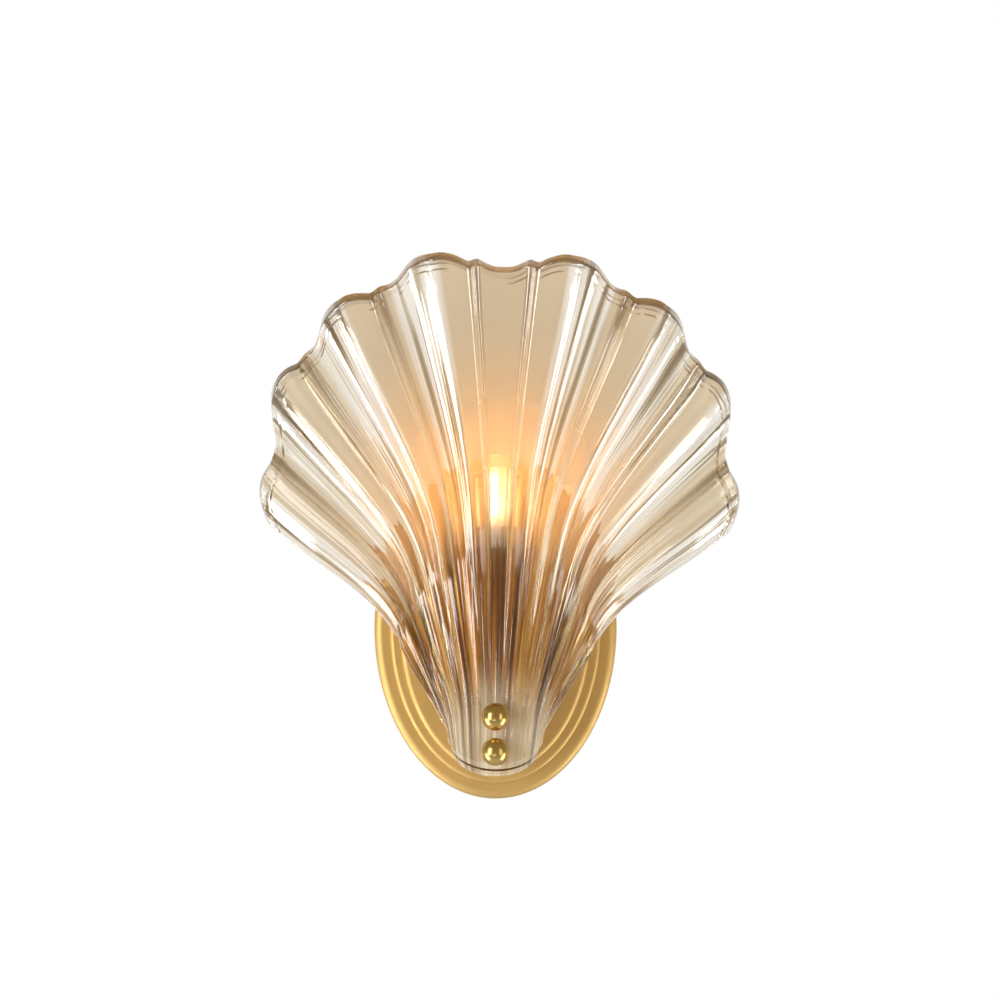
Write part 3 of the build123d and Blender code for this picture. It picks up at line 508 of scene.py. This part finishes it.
def drill(piece, places):
    """Cut round holes along Y; places are the middles of the holes."""
    turn = np.linspace(0, 2 * np.pi, HOLE_CORNERS + 1)[:-1]
    ring = np.stack([np.cos(turn), 0 * turn, np.sin(turn)], -1) * STUD_HOLE_RADIUS
    number = np.arange(HOLE_CORNERS)
    following = (number + 1) % HOLE_CORNERS
    walls = np.stack([number, number + HOLE_CORNERS, following + HOLE_CORNERS, following], -1)
    points, faces = [], []
    for place in places:
        start = 2 * HOLE_CORNERS * len(points)
        near = ring + np.array(place) - np.array([0, DRILL_LENGTH / 2, 0])
        points.append(np.concatenate([near, near + np.array([0, DRILL_LENGTH, 0])]))
        ends = [(number + start).tolist(), (number[::-1] + HOLE_CORNERS + start).tolist()]
        faces += (walls + start).tolist() + ends
    mesh = bpy.data.meshes.new("drill")
    mesh.from_pydata(np.concatenate(points), [], faces)
    cutter = bpy.data.objects.new("drill", mesh)
    bpy.context.scene.collection.objects.link(cutter)
    cut = piece.modifiers.new("holes", "BOOLEAN")
    cut.object = cutter
    cut.solver = "MANIFOLD"
    bpy.context.view_layer.update()
    made = bpy.data.meshes.new_from_object(piece.evaluated_get(bpy.context.evaluated_depsgraph_get()))
    piece.modifiers.clear()
    piece.data = made
    bpy.data.objects.remove(cutter)
    made.set_sharp_from_angle(angle=SHARP_ANGLE)


drill(shell, [(0, -TONGUE_DEPTH / 1000, z / 1000) for z in STUD_HEIGHTS])
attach(shell, "shade")
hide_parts("glass_shell")
print("shell after drilling", len(shell.data.polygons))

# %% [markdown]
# ## Champagne glass
# Pressed glass with a champagne tint and a fire-polished gloss. The tint is the base colour, which
# the renderer applies at each pass through the surface. The glass doesn't look the same all over:
# the narrow throat is streaked, the side walls of the ribs show white, and the rest is clear. So
# the first step names the zones, in flutes from the middle and centimetres up the fan.

# %% Glass zones
THROAT_FULL, THROAT_END = 9.0, 16.0
LOBES_FROM, LOBES_FULL, LOBES_SHARE = 1.3, 2.3, 0.55
OUTER_WALL_FROM, OUTER_WALL_FULL = 0.60, 0.68
INNER_WALL_FROM, INNER_WALL_FULL = 0.20, 0.12
MIDDLE_VALLEY = 0.5

champagne_glass, tree = new_material("pressed_champagne_glass")
along = add(tree, "ShaderNodeUVMap", uv_map="along")
place = add(tree, "ShaderNodeSeparateXYZ", {"Vector": along.outputs[0]})
height = place.outputs["Y"]
away = add(tree, "ShaderNodeMath", {0: place.outputs["X"]}, operation="ABSOLUTE").outputs[0]
across = add(tree, "ShaderNodeMath", {0: away}, operation="FRACT").outputs[0]
throat = add(tree, "ShaderNodeMapRange", {
    "Value": height, "From Min": THROAT_FULL, "From Max": THROAT_END, "To Min": 1.0, "To Max": 0.0,
}, interpolation_type="SMOOTHSTEP")
lobes = add(tree, "ShaderNodeMapRange", {
    "Value": away, "From Min": LOBES_FROM, "From Max": LOBES_FULL, "To Min": 0.0,
    "To Max": LOBES_SHARE,
}, interpolation_type="SMOOTHSTEP")
outer_wall = add(tree, "ShaderNodeMapRange", {
    "Value": across, "From Min": OUTER_WALL_FROM, "From Max": OUTER_WALL_FULL})
inner_wall = add(tree, "ShaderNodeMapRange", {
    "Value": across, "From Min": INNER_WALL_FROM, "From Max": INNER_WALL_FULL})
beside = add(tree, "ShaderNodeMath", {0: away, 1: MIDDLE_VALLEY}, operation="GREATER_THAN")
inner_beside = add(tree, "ShaderNodeMath", {0: inner_wall.outputs[0], 1: beside.outputs[0]},
                   operation="MULTIPLY")
both_walls = add(tree, "ShaderNodeMath", {0: outer_wall.outputs[0], 1: inner_beside.outputs[0]},
                 operation="MAXIMUM")
not_throat = add(tree, "ShaderNodeMapRange", {"Value": throat.outputs[0], "To Min": 1.0,
                                              "To Max": 0.0})
walls = add(tree, "ShaderNodeMath", {0: both_walls.outputs[0], 1: not_throat.outputs[0]},
            operation="MULTIPLY")

# %% [markdown]
# The mould and the drawing of the hot glass leave fine lines that run up the fan: noises that are
# many times longer along h than across, and that drive a bump of up to one millimetre. They are
# full in the throat, weaker in the lobes, and finer on the walls of the ribs. To the eye they break
# the background and the lamp into upright streaks.

# %% Glass relief
MOULD_LINES = (3.4, 0.03, 1.0)
WALL_LINES = (11.0, 0.05, 1.0)
SMOOTH_PART_DEPTH = 0.10
WALL_LINE_DEPTH = 0.45

mould_place = add(tree, "ShaderNodeMapping", {"Vector": along.outputs[0], "Scale": MOULD_LINES})
mould = add(tree, "ShaderNodeTexNoise", {"Vector": mould_place.outputs[0], "Scale": 1.0,
                                         "Detail": 3.0}, noise_dimensions="2D")
wall_place = add(tree, "ShaderNodeMapping", {"Vector": along.outputs[0], "Scale": WALL_LINES})
drawn = add(tree, "ShaderNodeTexNoise", {"Vector": wall_place.outputs[0], "Scale": 1.0,
                                         "Detail": 2.0}, noise_dimensions="2D")
lined = add(tree, "ShaderNodeMath", {0: throat.outputs[0], 1: lobes.outputs[0]},
            operation="MAXIMUM")
depth = add(tree, "ShaderNodeMapRange", {"Value": lined.outputs[0], "To Min": SMOOTH_PART_DEPTH,
                                         "To Max": 1.0})
wall_depth = add(tree, "ShaderNodeMath", {0: walls.outputs[0], 1: WALL_LINE_DEPTH},
                 operation="MULTIPLY")
wall_ridges = add(tree, "ShaderNodeMath", {0: drawn.outputs[0], 1: wall_depth.outputs[0]},
                  operation="MULTIPLY")
ridges = add(tree, "ShaderNodeMath", {0: mould.outputs[0], 1: depth.outputs[0],
                                      2: wall_ridges.outputs[0]}, operation="MULTIPLY_ADD")
relief = add(tree, "ShaderNodeBump", {"Height": ridges.outputs[0], "Strength": 0.8,
                                      "Distance": 0.0010})

# %% [markdown]
# In the throat the tint runs from brown through amber to nearly white in long streaks, and a
# trace of them goes on in the lobes: a painted reflection of the brass seen through the ridged
# glass and of the lamps mirrored in it. The walls of the ribs get a painted reflection of the
# background: nearly white, with thin dark lines.

# %% Glass tint and painted reflections
STREAKS = (2.4, 0.02, 1.0)
STREAKS_MOVED = (3.7, 1.3, 0.0)
LOBE_REFLECTION_SHARE = 0.25
# Painted reflection: the throat tints stand for brass seen through the glass and for lamps mirrored
# in it.
THROAT_PAINTED_REFLECTION_TINTS = ((0.30, "#523A12"), (0.40, "#C69632"), (0.46, "#F2E0B0"), (0.54, "#FFF8E0"),
                (0.58, "#D8B04C"), (0.64, "#86682E"), (0.72, "#AA956C"))
# Painted reflection: the wall tints stand for the white background mirrored in the walls of the ribs.
WALL_PAINTED_REFLECTION_TINTS = ((0.38, "#7E6A48"), (0.42, "#E6D8BC"), (0.46, "#FFFCF6"), (0.60, "#FCF4E4"),
              (0.70, "#D6C4A2"))
PANEL_TINT = "#D8C3A0"
LOBE_TINT = "#EBDABD"

streak_place = add(tree, "ShaderNodeMapping", {"Vector": along.outputs[0],
                                               "Location": STREAKS_MOVED, "Scale": STREAKS})
streak = add(tree, "ShaderNodeTexNoise", {"Vector": streak_place.outputs[0], "Scale": 1.0,
                                          "Detail": 3.0}, noise_dimensions="2D")
throat_reflection_paint = add(tree, "ShaderNodeValToRGB", {"Fac": streak.outputs[0]})
fill_ramp(throat_reflection_paint, THROAT_PAINTED_REFLECTION_TINTS)
wall_reflection_paint = add(tree, "ShaderNodeValToRGB", {"Fac": drawn.outputs[0]})
fill_ramp(wall_reflection_paint, WALL_PAINTED_REFLECTION_TINTS)
pale = add(tree, "ShaderNodeMix", {0: lobes.outputs[0], 6: linear(PANEL_TINT),
                                   7: linear(LOBE_TINT)}, data_type="RGBA")
lobe_reflection_share = add(tree, "ShaderNodeMapRange", {"Value": lobes.outputs[0], "To Min": 0.0,
                                          "To Max": LOBE_REFLECTION_SHARE})
painted_reflection_share = add(tree, "ShaderNodeMath", {0: throat.outputs[0], 1: lobe_reflection_share.outputs[0]},
               operation="MAXIMUM")
# The painted reflection streaks go into the base tint, in full in the throat and a quarter in the
# lobes.
tint = add(tree, "ShaderNodeMix", {0: painted_reflection_share.outputs[0], 6: pale.outputs[2],
                                   7: throat_reflection_paint.outputs[0]}, data_type="RGBA")
# The walls of the ribs take the painted white reflection over the tint.
walls_with_painted_reflection = add(tree, "ShaderNodeMix", {0: walls.outputs[0], 6: tint.outputs[2],
                                          7: wall_reflection_paint.outputs[0]}, data_type="RGBA")

# %% [markdown]
# Three kinds of thin brown line are drawn in the tint, where the thick glass bends the view onto
# its own edges: the fold where each rib rises, near the rim, a broken crease along the band of the
# rim, and one line across the tongue just above its end.

# %% Glass lines
LINE_TINT = "#6E5836"
FOLD_PLACE, FOLD_HALF_WIDTH = 0.29, 0.045
FOLD_FULL, FOLD_END, FOLD_SHARE = 0.6, 6.5, 0.75
CREASE_PLACE, CREASE_HALF_WIDTH = 0.60, 0.055
CREASE_GAP, CREASE_WHOLE = 0.46, 0.54
FOOT_LINE_PLACE, FOOT_LINE_HALF_WIDTH = 0.30, 0.05

rim_uv = add(tree, "ShaderNodeUVMap", uv_map="rim")
below_rim = add(tree, "ShaderNodeSeparateXYZ", {"Vector": rim_uv.outputs[0]}).outputs["Y"]
at_fold = add(tree, "ShaderNodeMath", {0: across, 1: FOLD_PLACE, 2: FOLD_HALF_WIDTH},
              operation="COMPARE")
near_rim = add(tree, "ShaderNodeMapRange", {
    "Value": below_rim, "From Min": FOLD_FULL, "From Max": FOLD_END, "To Min": FOLD_SHARE,
    "To Max": 0.0})
fold = add(tree, "ShaderNodeMath", {0: at_fold.outputs[0], 1: near_rim.outputs[0]},
           operation="MULTIPLY")
patches = add(tree, "ShaderNodeTexNoise", {"Vector": along.outputs[0], "Scale": 3.0,
                                           "Detail": 2.0}, noise_dimensions="2D")
unbroken = add(tree, "ShaderNodeMapRange", {"Value": patches.outputs[0], "From Min": CREASE_GAP,
                                            "From Max": CREASE_WHOLE})
at_crease = add(tree, "ShaderNodeMath", {0: below_rim, 1: CREASE_PLACE, 2: CREASE_HALF_WIDTH},
                operation="COMPARE")
crease = add(tree, "ShaderNodeMath", {0: at_crease.outputs[0], 1: unbroken.outputs[0]},
             operation="MULTIPLY")
foot_line = add(tree, "ShaderNodeMath", {0: height, 1: FOOT_LINE_PLACE, 2: FOOT_LINE_HALF_WIDTH},
                operation="COMPARE")
edge_lines = add(tree, "ShaderNodeMath", {0: foot_line.outputs[0], 1: crease.outputs[0]},
                 operation="MAXIMUM")
all_lines = add(tree, "ShaderNodeMath", {0: fold.outputs[0], 1: edge_lines.outputs[0]},
                operation="MAXIMUM")
marked = add(tree, "ShaderNodeMix", {0: all_lines.outputs[0], 6: walls_with_painted_reflection.outputs[2],
                                     7: linear(LINE_TINT)}, data_type="RGBA")

# %% [markdown]
# The polished skin mirrors more than plain glass would, so it is a glossy coat, weaker over the
# streaks of the throat. Around and above the lamp the glass also glows: a share of translucence
# that grows up to h = 165 mm, fades towards the rim and the sides, and is less in the walls of the
# ribs. The foot is frosted in streaks, most at its end. Light that only casts a shadow goes
# straight through with a brown tint, which stands in for the soft light under real glass.

# %% Glass shader
THROAT_GLOSS = 0.45
GLOW_SIDE_FROM, GLOW_SIDE_END, GLOW_AT_SIDE = 1.0, 3.2, 0.25
GLOW_FROM, GLOW_FULL, GLOW_SHARE = 10.5, 16.5, 0.34
FADE_FROM, FADE_END, GLOW_AT_RIM = 16.0, 22.0, 0.22
GLOW_IN_WALLS = 0.55
FROST_FULL, FROST_END, FROST_SHARE = 1.5, 5.8, 0.95

gloss = add(tree, "ShaderNodeMapRange", {"Value": throat.outputs[0], "To Min": 1.0,
                                         "To Max": THROAT_GLOSS})
clear = add(tree, "ShaderNodeBsdfPrincipled", {
    "Base Color": marked.outputs[2], "Roughness": 0.02, "IOR": 1.5, "Transmission Weight": 1.0,
    "Coat Weight": gloss.outputs[0], "Coat IOR": 2.0, "Coat Roughness": 0.08,
    "Normal": relief.outputs[0], "Coat Normal": relief.outputs[0],
})
sideways = add(tree, "ShaderNodeMapRange", {
    "Value": away, "From Min": GLOW_SIDE_FROM, "From Max": GLOW_SIDE_END, "To Min": 1.0,
    "To Max": GLOW_AT_SIDE,
}, interpolation_type="SMOOTHSTEP")
upward = add(tree, "ShaderNodeMapRange", {
    "Value": height, "From Min": GLOW_FROM, "From Max": GLOW_FULL, "To Min": 0.0,
    "To Max": GLOW_SHARE,
}, interpolation_type="SMOOTHSTEP")
fading = add(tree, "ShaderNodeMapRange", {
    "Value": height, "From Min": FADE_FROM, "From Max": FADE_END, "To Min": 1.0,
    "To Max": GLOW_AT_RIM,
}, interpolation_type="SMOOTHSTEP")
less = add(tree, "ShaderNodeMapRange", {"Value": walls.outputs[0], "To Min": 1.0,
                                        "To Max": GLOW_IN_WALLS})
cloudy = upward.outputs[0]
for factor in (sideways, fading, less):
    product = add(tree, "ShaderNodeMath", {0: cloudy, 1: factor.outputs[0]}, operation="MULTIPLY")
    cloudy = product.outputs[0]
milky = add(tree, "ShaderNodeBsdfTranslucent", {"Color": linear("#FFD69C")})
body = add(tree, "ShaderNodeMixShader", {0: cloudy, 1: clear.outputs[0], 2: milky.outputs[0]})
foot = add(tree, "ShaderNodeMapRange", {
    "Value": height, "From Min": FROST_FULL, "From Max": FROST_END, "To Min": FROST_SHARE,
    "To Max": 0.0,
}, interpolation_type="SMOOTHSTEP")
frosting = add(tree, "ShaderNodeMath", {0: foot.outputs[0], 1: foot_line.outputs[0]},
               operation="SUBTRACT", use_clamp=True)
scuffed = add(tree, "ShaderNodeMath", {0: frosting.outputs[0], 1: streak.outputs[0]},
              operation="MULTIPLY")
frost = add(tree, "ShaderNodeBsdfDiffuse", {"Color": linear("#F6ECD0")})
footed = add(tree, "ShaderNodeMixShader", {0: scuffed.outputs[0], 1: body.outputs[0],
                                           2: frost.outputs[0]})
see_through = add(tree, "ShaderNodeBsdfTransparent", {"Color": linear("#CBAE7C")})
path = add(tree, "ShaderNodeLightPath")
shade = add(tree, "ShaderNodeMixShader", {0: path.outputs["Is Shadow Ray"], 1: footed.outputs[0],
                                          2: see_through.outputs[0]})
add(tree, "ShaderNodeOutputMaterial", {"Surface": shade.outputs[0]})
shell.data.materials.clear()
shell.data.materials.append(champagne_glass)

# %% [markdown]
# ## Brass
# Brushed brass is rubbed with abrasive along one direction and then lacquered, which leaves fine
# grooves and spreads each reflection across them. Polished brass is buffed until hardly a groove is
# left, so that it mirrors the room. The bare contacts are bright, as they come from the press.

# %% Brass finishes
GRAIN = (1500.0, 1500.0, 40.0)
WEAR = 60.0
LACQUER = 0.35
LACQUER_ROUGHNESS = 0.50


def brass(name, colour, roughness, groove):
    """Metal with an upright grain, 1500 noise cells to a metre across (0.7 mm each) and 40 along
    (25 mm), a roughness that changes by 0.8 to 1.25 times in patches of 17 mm, and a thin, soft
    coat of lacquer."""
    material, tree = new_material(name)
    place = add(tree, "ShaderNodeTexCoord")
    grain = add(tree, "ShaderNodeMapping", {"Vector": place.outputs["Object"], "Scale": GRAIN})
    noise = add(tree, "ShaderNodeTexNoise", {"Vector": grain.outputs[0], "Scale": 1.0,
                                             "Detail": 3.0})
    cloud = add(tree, "ShaderNodeTexNoise", {"Vector": place.outputs["Object"], "Scale": WEAR})
    rough = add(tree, "ShaderNodeMapRange", {"Value": cloud.outputs[0],
                                             "To Min": roughness * 0.8, "To Max": roughness * 1.25})
    relief = add(tree, "ShaderNodeBump", {"Height": noise.outputs[0], "Strength": groove,
                                          "Distance": 0.0001})
    metal = add(tree, "ShaderNodeBsdfPrincipled", {
        "Base Color": linear(colour), "Metallic": 1.0, "Roughness": rough.outputs[0],
        "Normal": relief.outputs[0], "Coat Weight": LACQUER, "Coat Roughness": LACQUER_ROUGHNESS,
    })
    add(tree, "ShaderNodeOutputMaterial", {"Surface": metal.outputs[0]})
    return material


brushed_brass = brass("brushed_lacquered_brass", "#E0BC76", 0.54, 0.25)
polished_brass = brass("polished_brass", "#D6B468", 0.24, 0.02)
bright_brass = brass("bright_contact_brass", "#D8B560", 0.22, 0.05)

# %% [markdown]
# ## Other finishes
# Zinc and tin are plated on steel in a thin layer that mirrors softly, with a mottle. Porcelain is
# fired without a glaze, and nylon, rubber and insulation are moulded, so all of them have a fine
# grit that breaks up the highlights. Silicone and the frosted glass of the lamp let light through;
# they cast a pale shadow, because light that only casts a shadow passes them with their tint.

# %% Other finishes
MOTTLE = 400.0


def plain_metal(name, colour, roughness):
    """Plated metal: a roughness that changes by 0.7 to 1.4 times in patches of 2.5 mm."""
    material, tree = new_material(name)
    place = add(tree, "ShaderNodeTexCoord")
    cloud = add(tree, "ShaderNodeTexNoise", {"Vector": place.outputs["Object"], "Scale": MOTTLE})
    rough = add(tree, "ShaderNodeMapRange", {"Value": cloud.outputs[0],
                                             "To Min": roughness * 0.7, "To Max": roughness * 1.4})
    metal = add(tree, "ShaderNodeBsdfPrincipled", {
        "Base Color": linear(colour), "Metallic": 1.0, "Roughness": rough.outputs[0],
    })
    add(tree, "ShaderNodeOutputMaterial", {"Surface": metal.outputs[0]})
    return material


def moulded(name, colour, roughness, grit_mm, depth):
    """Moulded or fired piece: a fine grit of the given size in its surface."""
    material, tree = new_material(name)
    place = add(tree, "ShaderNodeTexCoord")
    grit = add(tree, "ShaderNodeTexNoise", {"Vector": place.outputs["Object"],
                                            "Scale": 1000.0 / grit_mm, "Detail": 2.0})
    relief = add(tree, "ShaderNodeBump", {"Height": grit.outputs[0], "Strength": depth,
                                          "Distance": 0.0001})
    piece = add(tree, "ShaderNodeBsdfPrincipled", {
        "Base Color": linear(colour), "Roughness": roughness, "IOR": 1.5,
        "Normal": relief.outputs[0],
    })
    add(tree, "ShaderNodeOutputMaterial", {"Surface": piece.outputs[0]})
    return material


def clear_piece(name, colour, roughness, ior):
    """Clear or frosted piece that lets light through."""
    material, tree = new_material(name)
    piece = add(tree, "ShaderNodeBsdfPrincipled", {
        "Base Color": linear(colour), "Roughness": roughness, "IOR": ior,
        "Transmission Weight": 1.0,
    })
    see_through = add(tree, "ShaderNodeBsdfTransparent", {"Color": linear(colour)})
    path = add(tree, "ShaderNodeLightPath")
    shade = add(tree, "ShaderNodeMixShader", {0: path.outputs["Is Shadow Ray"], 1: piece.outputs[0],
                                              2: see_through.outputs[0]})
    add(tree, "ShaderNodeOutputMaterial", {"Surface": shade.outputs[0]})
    return material


zinc_steel = plain_metal("zinc_plated_steel", "#B9BBBD", 0.30)
tinned_pin = plain_metal("tinned_pin", "#C9C7C2", 0.25)
porcelain = moulded("unglazed_porcelain", "#E8E2D6", 0.55, 0.4, 0.15)
lamp_moulding = moulded("lamp_foot_moulding", "#EDEBE6", 0.35, 0.5, 0.05)
terminal_moulding = moulded("terminal_nylon", "#E3E0D8", 0.45, 0.5, 0.08)
rubber = moulded("grommet_rubber", "#141414", 0.60, 0.3, 0.20)
brown_wire = moulded("brown_insulation", "#5A3520", 0.40, 0.6, 0.06)
blue_wire = moulded("blue_insulation", "#23479A", 0.40, 0.6, 0.06)
silicone = clear_piece("clear_silicone", "#E9E4D8", 0.25, 1.41)
frosted_glass = clear_piece("frosted_lamp_glass", "#FFFBF4", 0.65, 1.5)

# %% [markdown]
# The earth wire carries a yellow stripe that winds round green insulation.

# %% Green and yellow wire
STRIPE_SLANT = (0.0, 0.6, 0.5)
STRIPE_SCALE = 90.0

earth_insulation, tree = new_material("green_yellow_insulation")
place = add(tree, "ShaderNodeTexCoord")
turned = add(tree, "ShaderNodeMapping", {"Vector": place.outputs["Object"],
                                         "Rotation": STRIPE_SLANT})
stripe = add(tree, "ShaderNodeTexWave", {"Vector": turned.outputs[0], "Scale": STRIPE_SCALE})
choice = add(tree, "ShaderNodeMath", {0: stripe.outputs["Fac"], 1: 0.5}, operation="GREATER_THAN")
tint = add(tree, "ShaderNodeMix", {0: choice.outputs[0], 6: linear("#2E8B3D"),
                                   7: linear("#E8CB2E")}, data_type="RGBA")
piece = add(tree, "ShaderNodeBsdfPrincipled", {"Base Color": tint.outputs[2], "Roughness": 0.4})
add(tree, "ShaderNodeOutputMaterial", {"Surface": piece.outputs[0]})

# %% [markdown]
# The lamp is lit, so its light-giving rod emits a warm light, faint at its foot and full near its
# top. Its strength is set so that the rod burns out to a pale yellow and the glass round it glows.

# %% Light-giving rod
LAMP_STRENGTH = 330.0
FOOT_STRENGTH = 4.0
ROD_DIM_LENGTH = 0.004
ROD_BRIGHT_LENGTH = 0.006

lamp_light, tree = new_material("warm_light_rod")
place = add(tree, "ShaderNodeTexCoord")
axes = add(tree, "ShaderNodeSeparateXYZ", {"Vector": place.outputs["Object"]})
rod_low, rod_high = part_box("lamp_glow")
heat = add(tree, "ShaderNodeMapRange", {
    "Value": axes.outputs["Z"], "From Min": rod_low[2] + ROD_DIM_LENGTH,
    "From Max": rod_high[2] - ROD_BRIGHT_LENGTH, "To Min": FOOT_STRENGTH, "To Max": LAMP_STRENGTH,
}, interpolation_type="SMOOTHSTEP")
rod = add(tree, "ShaderNodeEmission", {"Color": linear("#FFF0DA"), "Strength": heat.outputs[0]})
add(tree, "ShaderNodeOutputMaterial", {"Surface": rod.outputs[0]})

# %% Give each solid its finish
FINISH = {
    brushed_brass: ["back_plate", "arm_flange", "arm_sleeve", "mount_block", "holder_collar",
                    "holder_cup"],
    polished_brass: ["upper_ball_nut", "lower_ball_nut"],
    bright_brass: ["earth_screw", "earth_lug", "arm_earth_lug", "terminal_barrels",
                   "socket_contacts"],
    zinc_steel: ["wall_bracket", "plate_grub_screws", "earth_washer", "terminal_screws",
                 "terminal_fixing_screw", "arm_tube", "arm_lock_washer", "arm_lock_nut",
                 "holder_tube", "cup_lock_nut", "socket_lock_nut", "glass_studs"],
    tinned_pin: ["lamp_pins"],
    porcelain: ["socket_body"],
    lamp_moulding: ["lamp_base"],
    terminal_moulding: ["terminal_block"],
    rubber: ["cable_grommet"],
    brown_wire: ["live_wire"],
    blue_wire: ["neutral_wire"],
    earth_insulation: ["earth_wire"],
    silicone: ["rear_washers", "hole_sleeves", "front_washers"],
    frosted_glass: ["lamp_glass"],
    lamp_light: ["lamp_glow"],
}
for finish, names in FINISH.items():
    for name in names:
        for slot in nodes[name].material_slots:
            slot.material = finish

bpy.context.scene.view_settings.view_transform = "Standard"
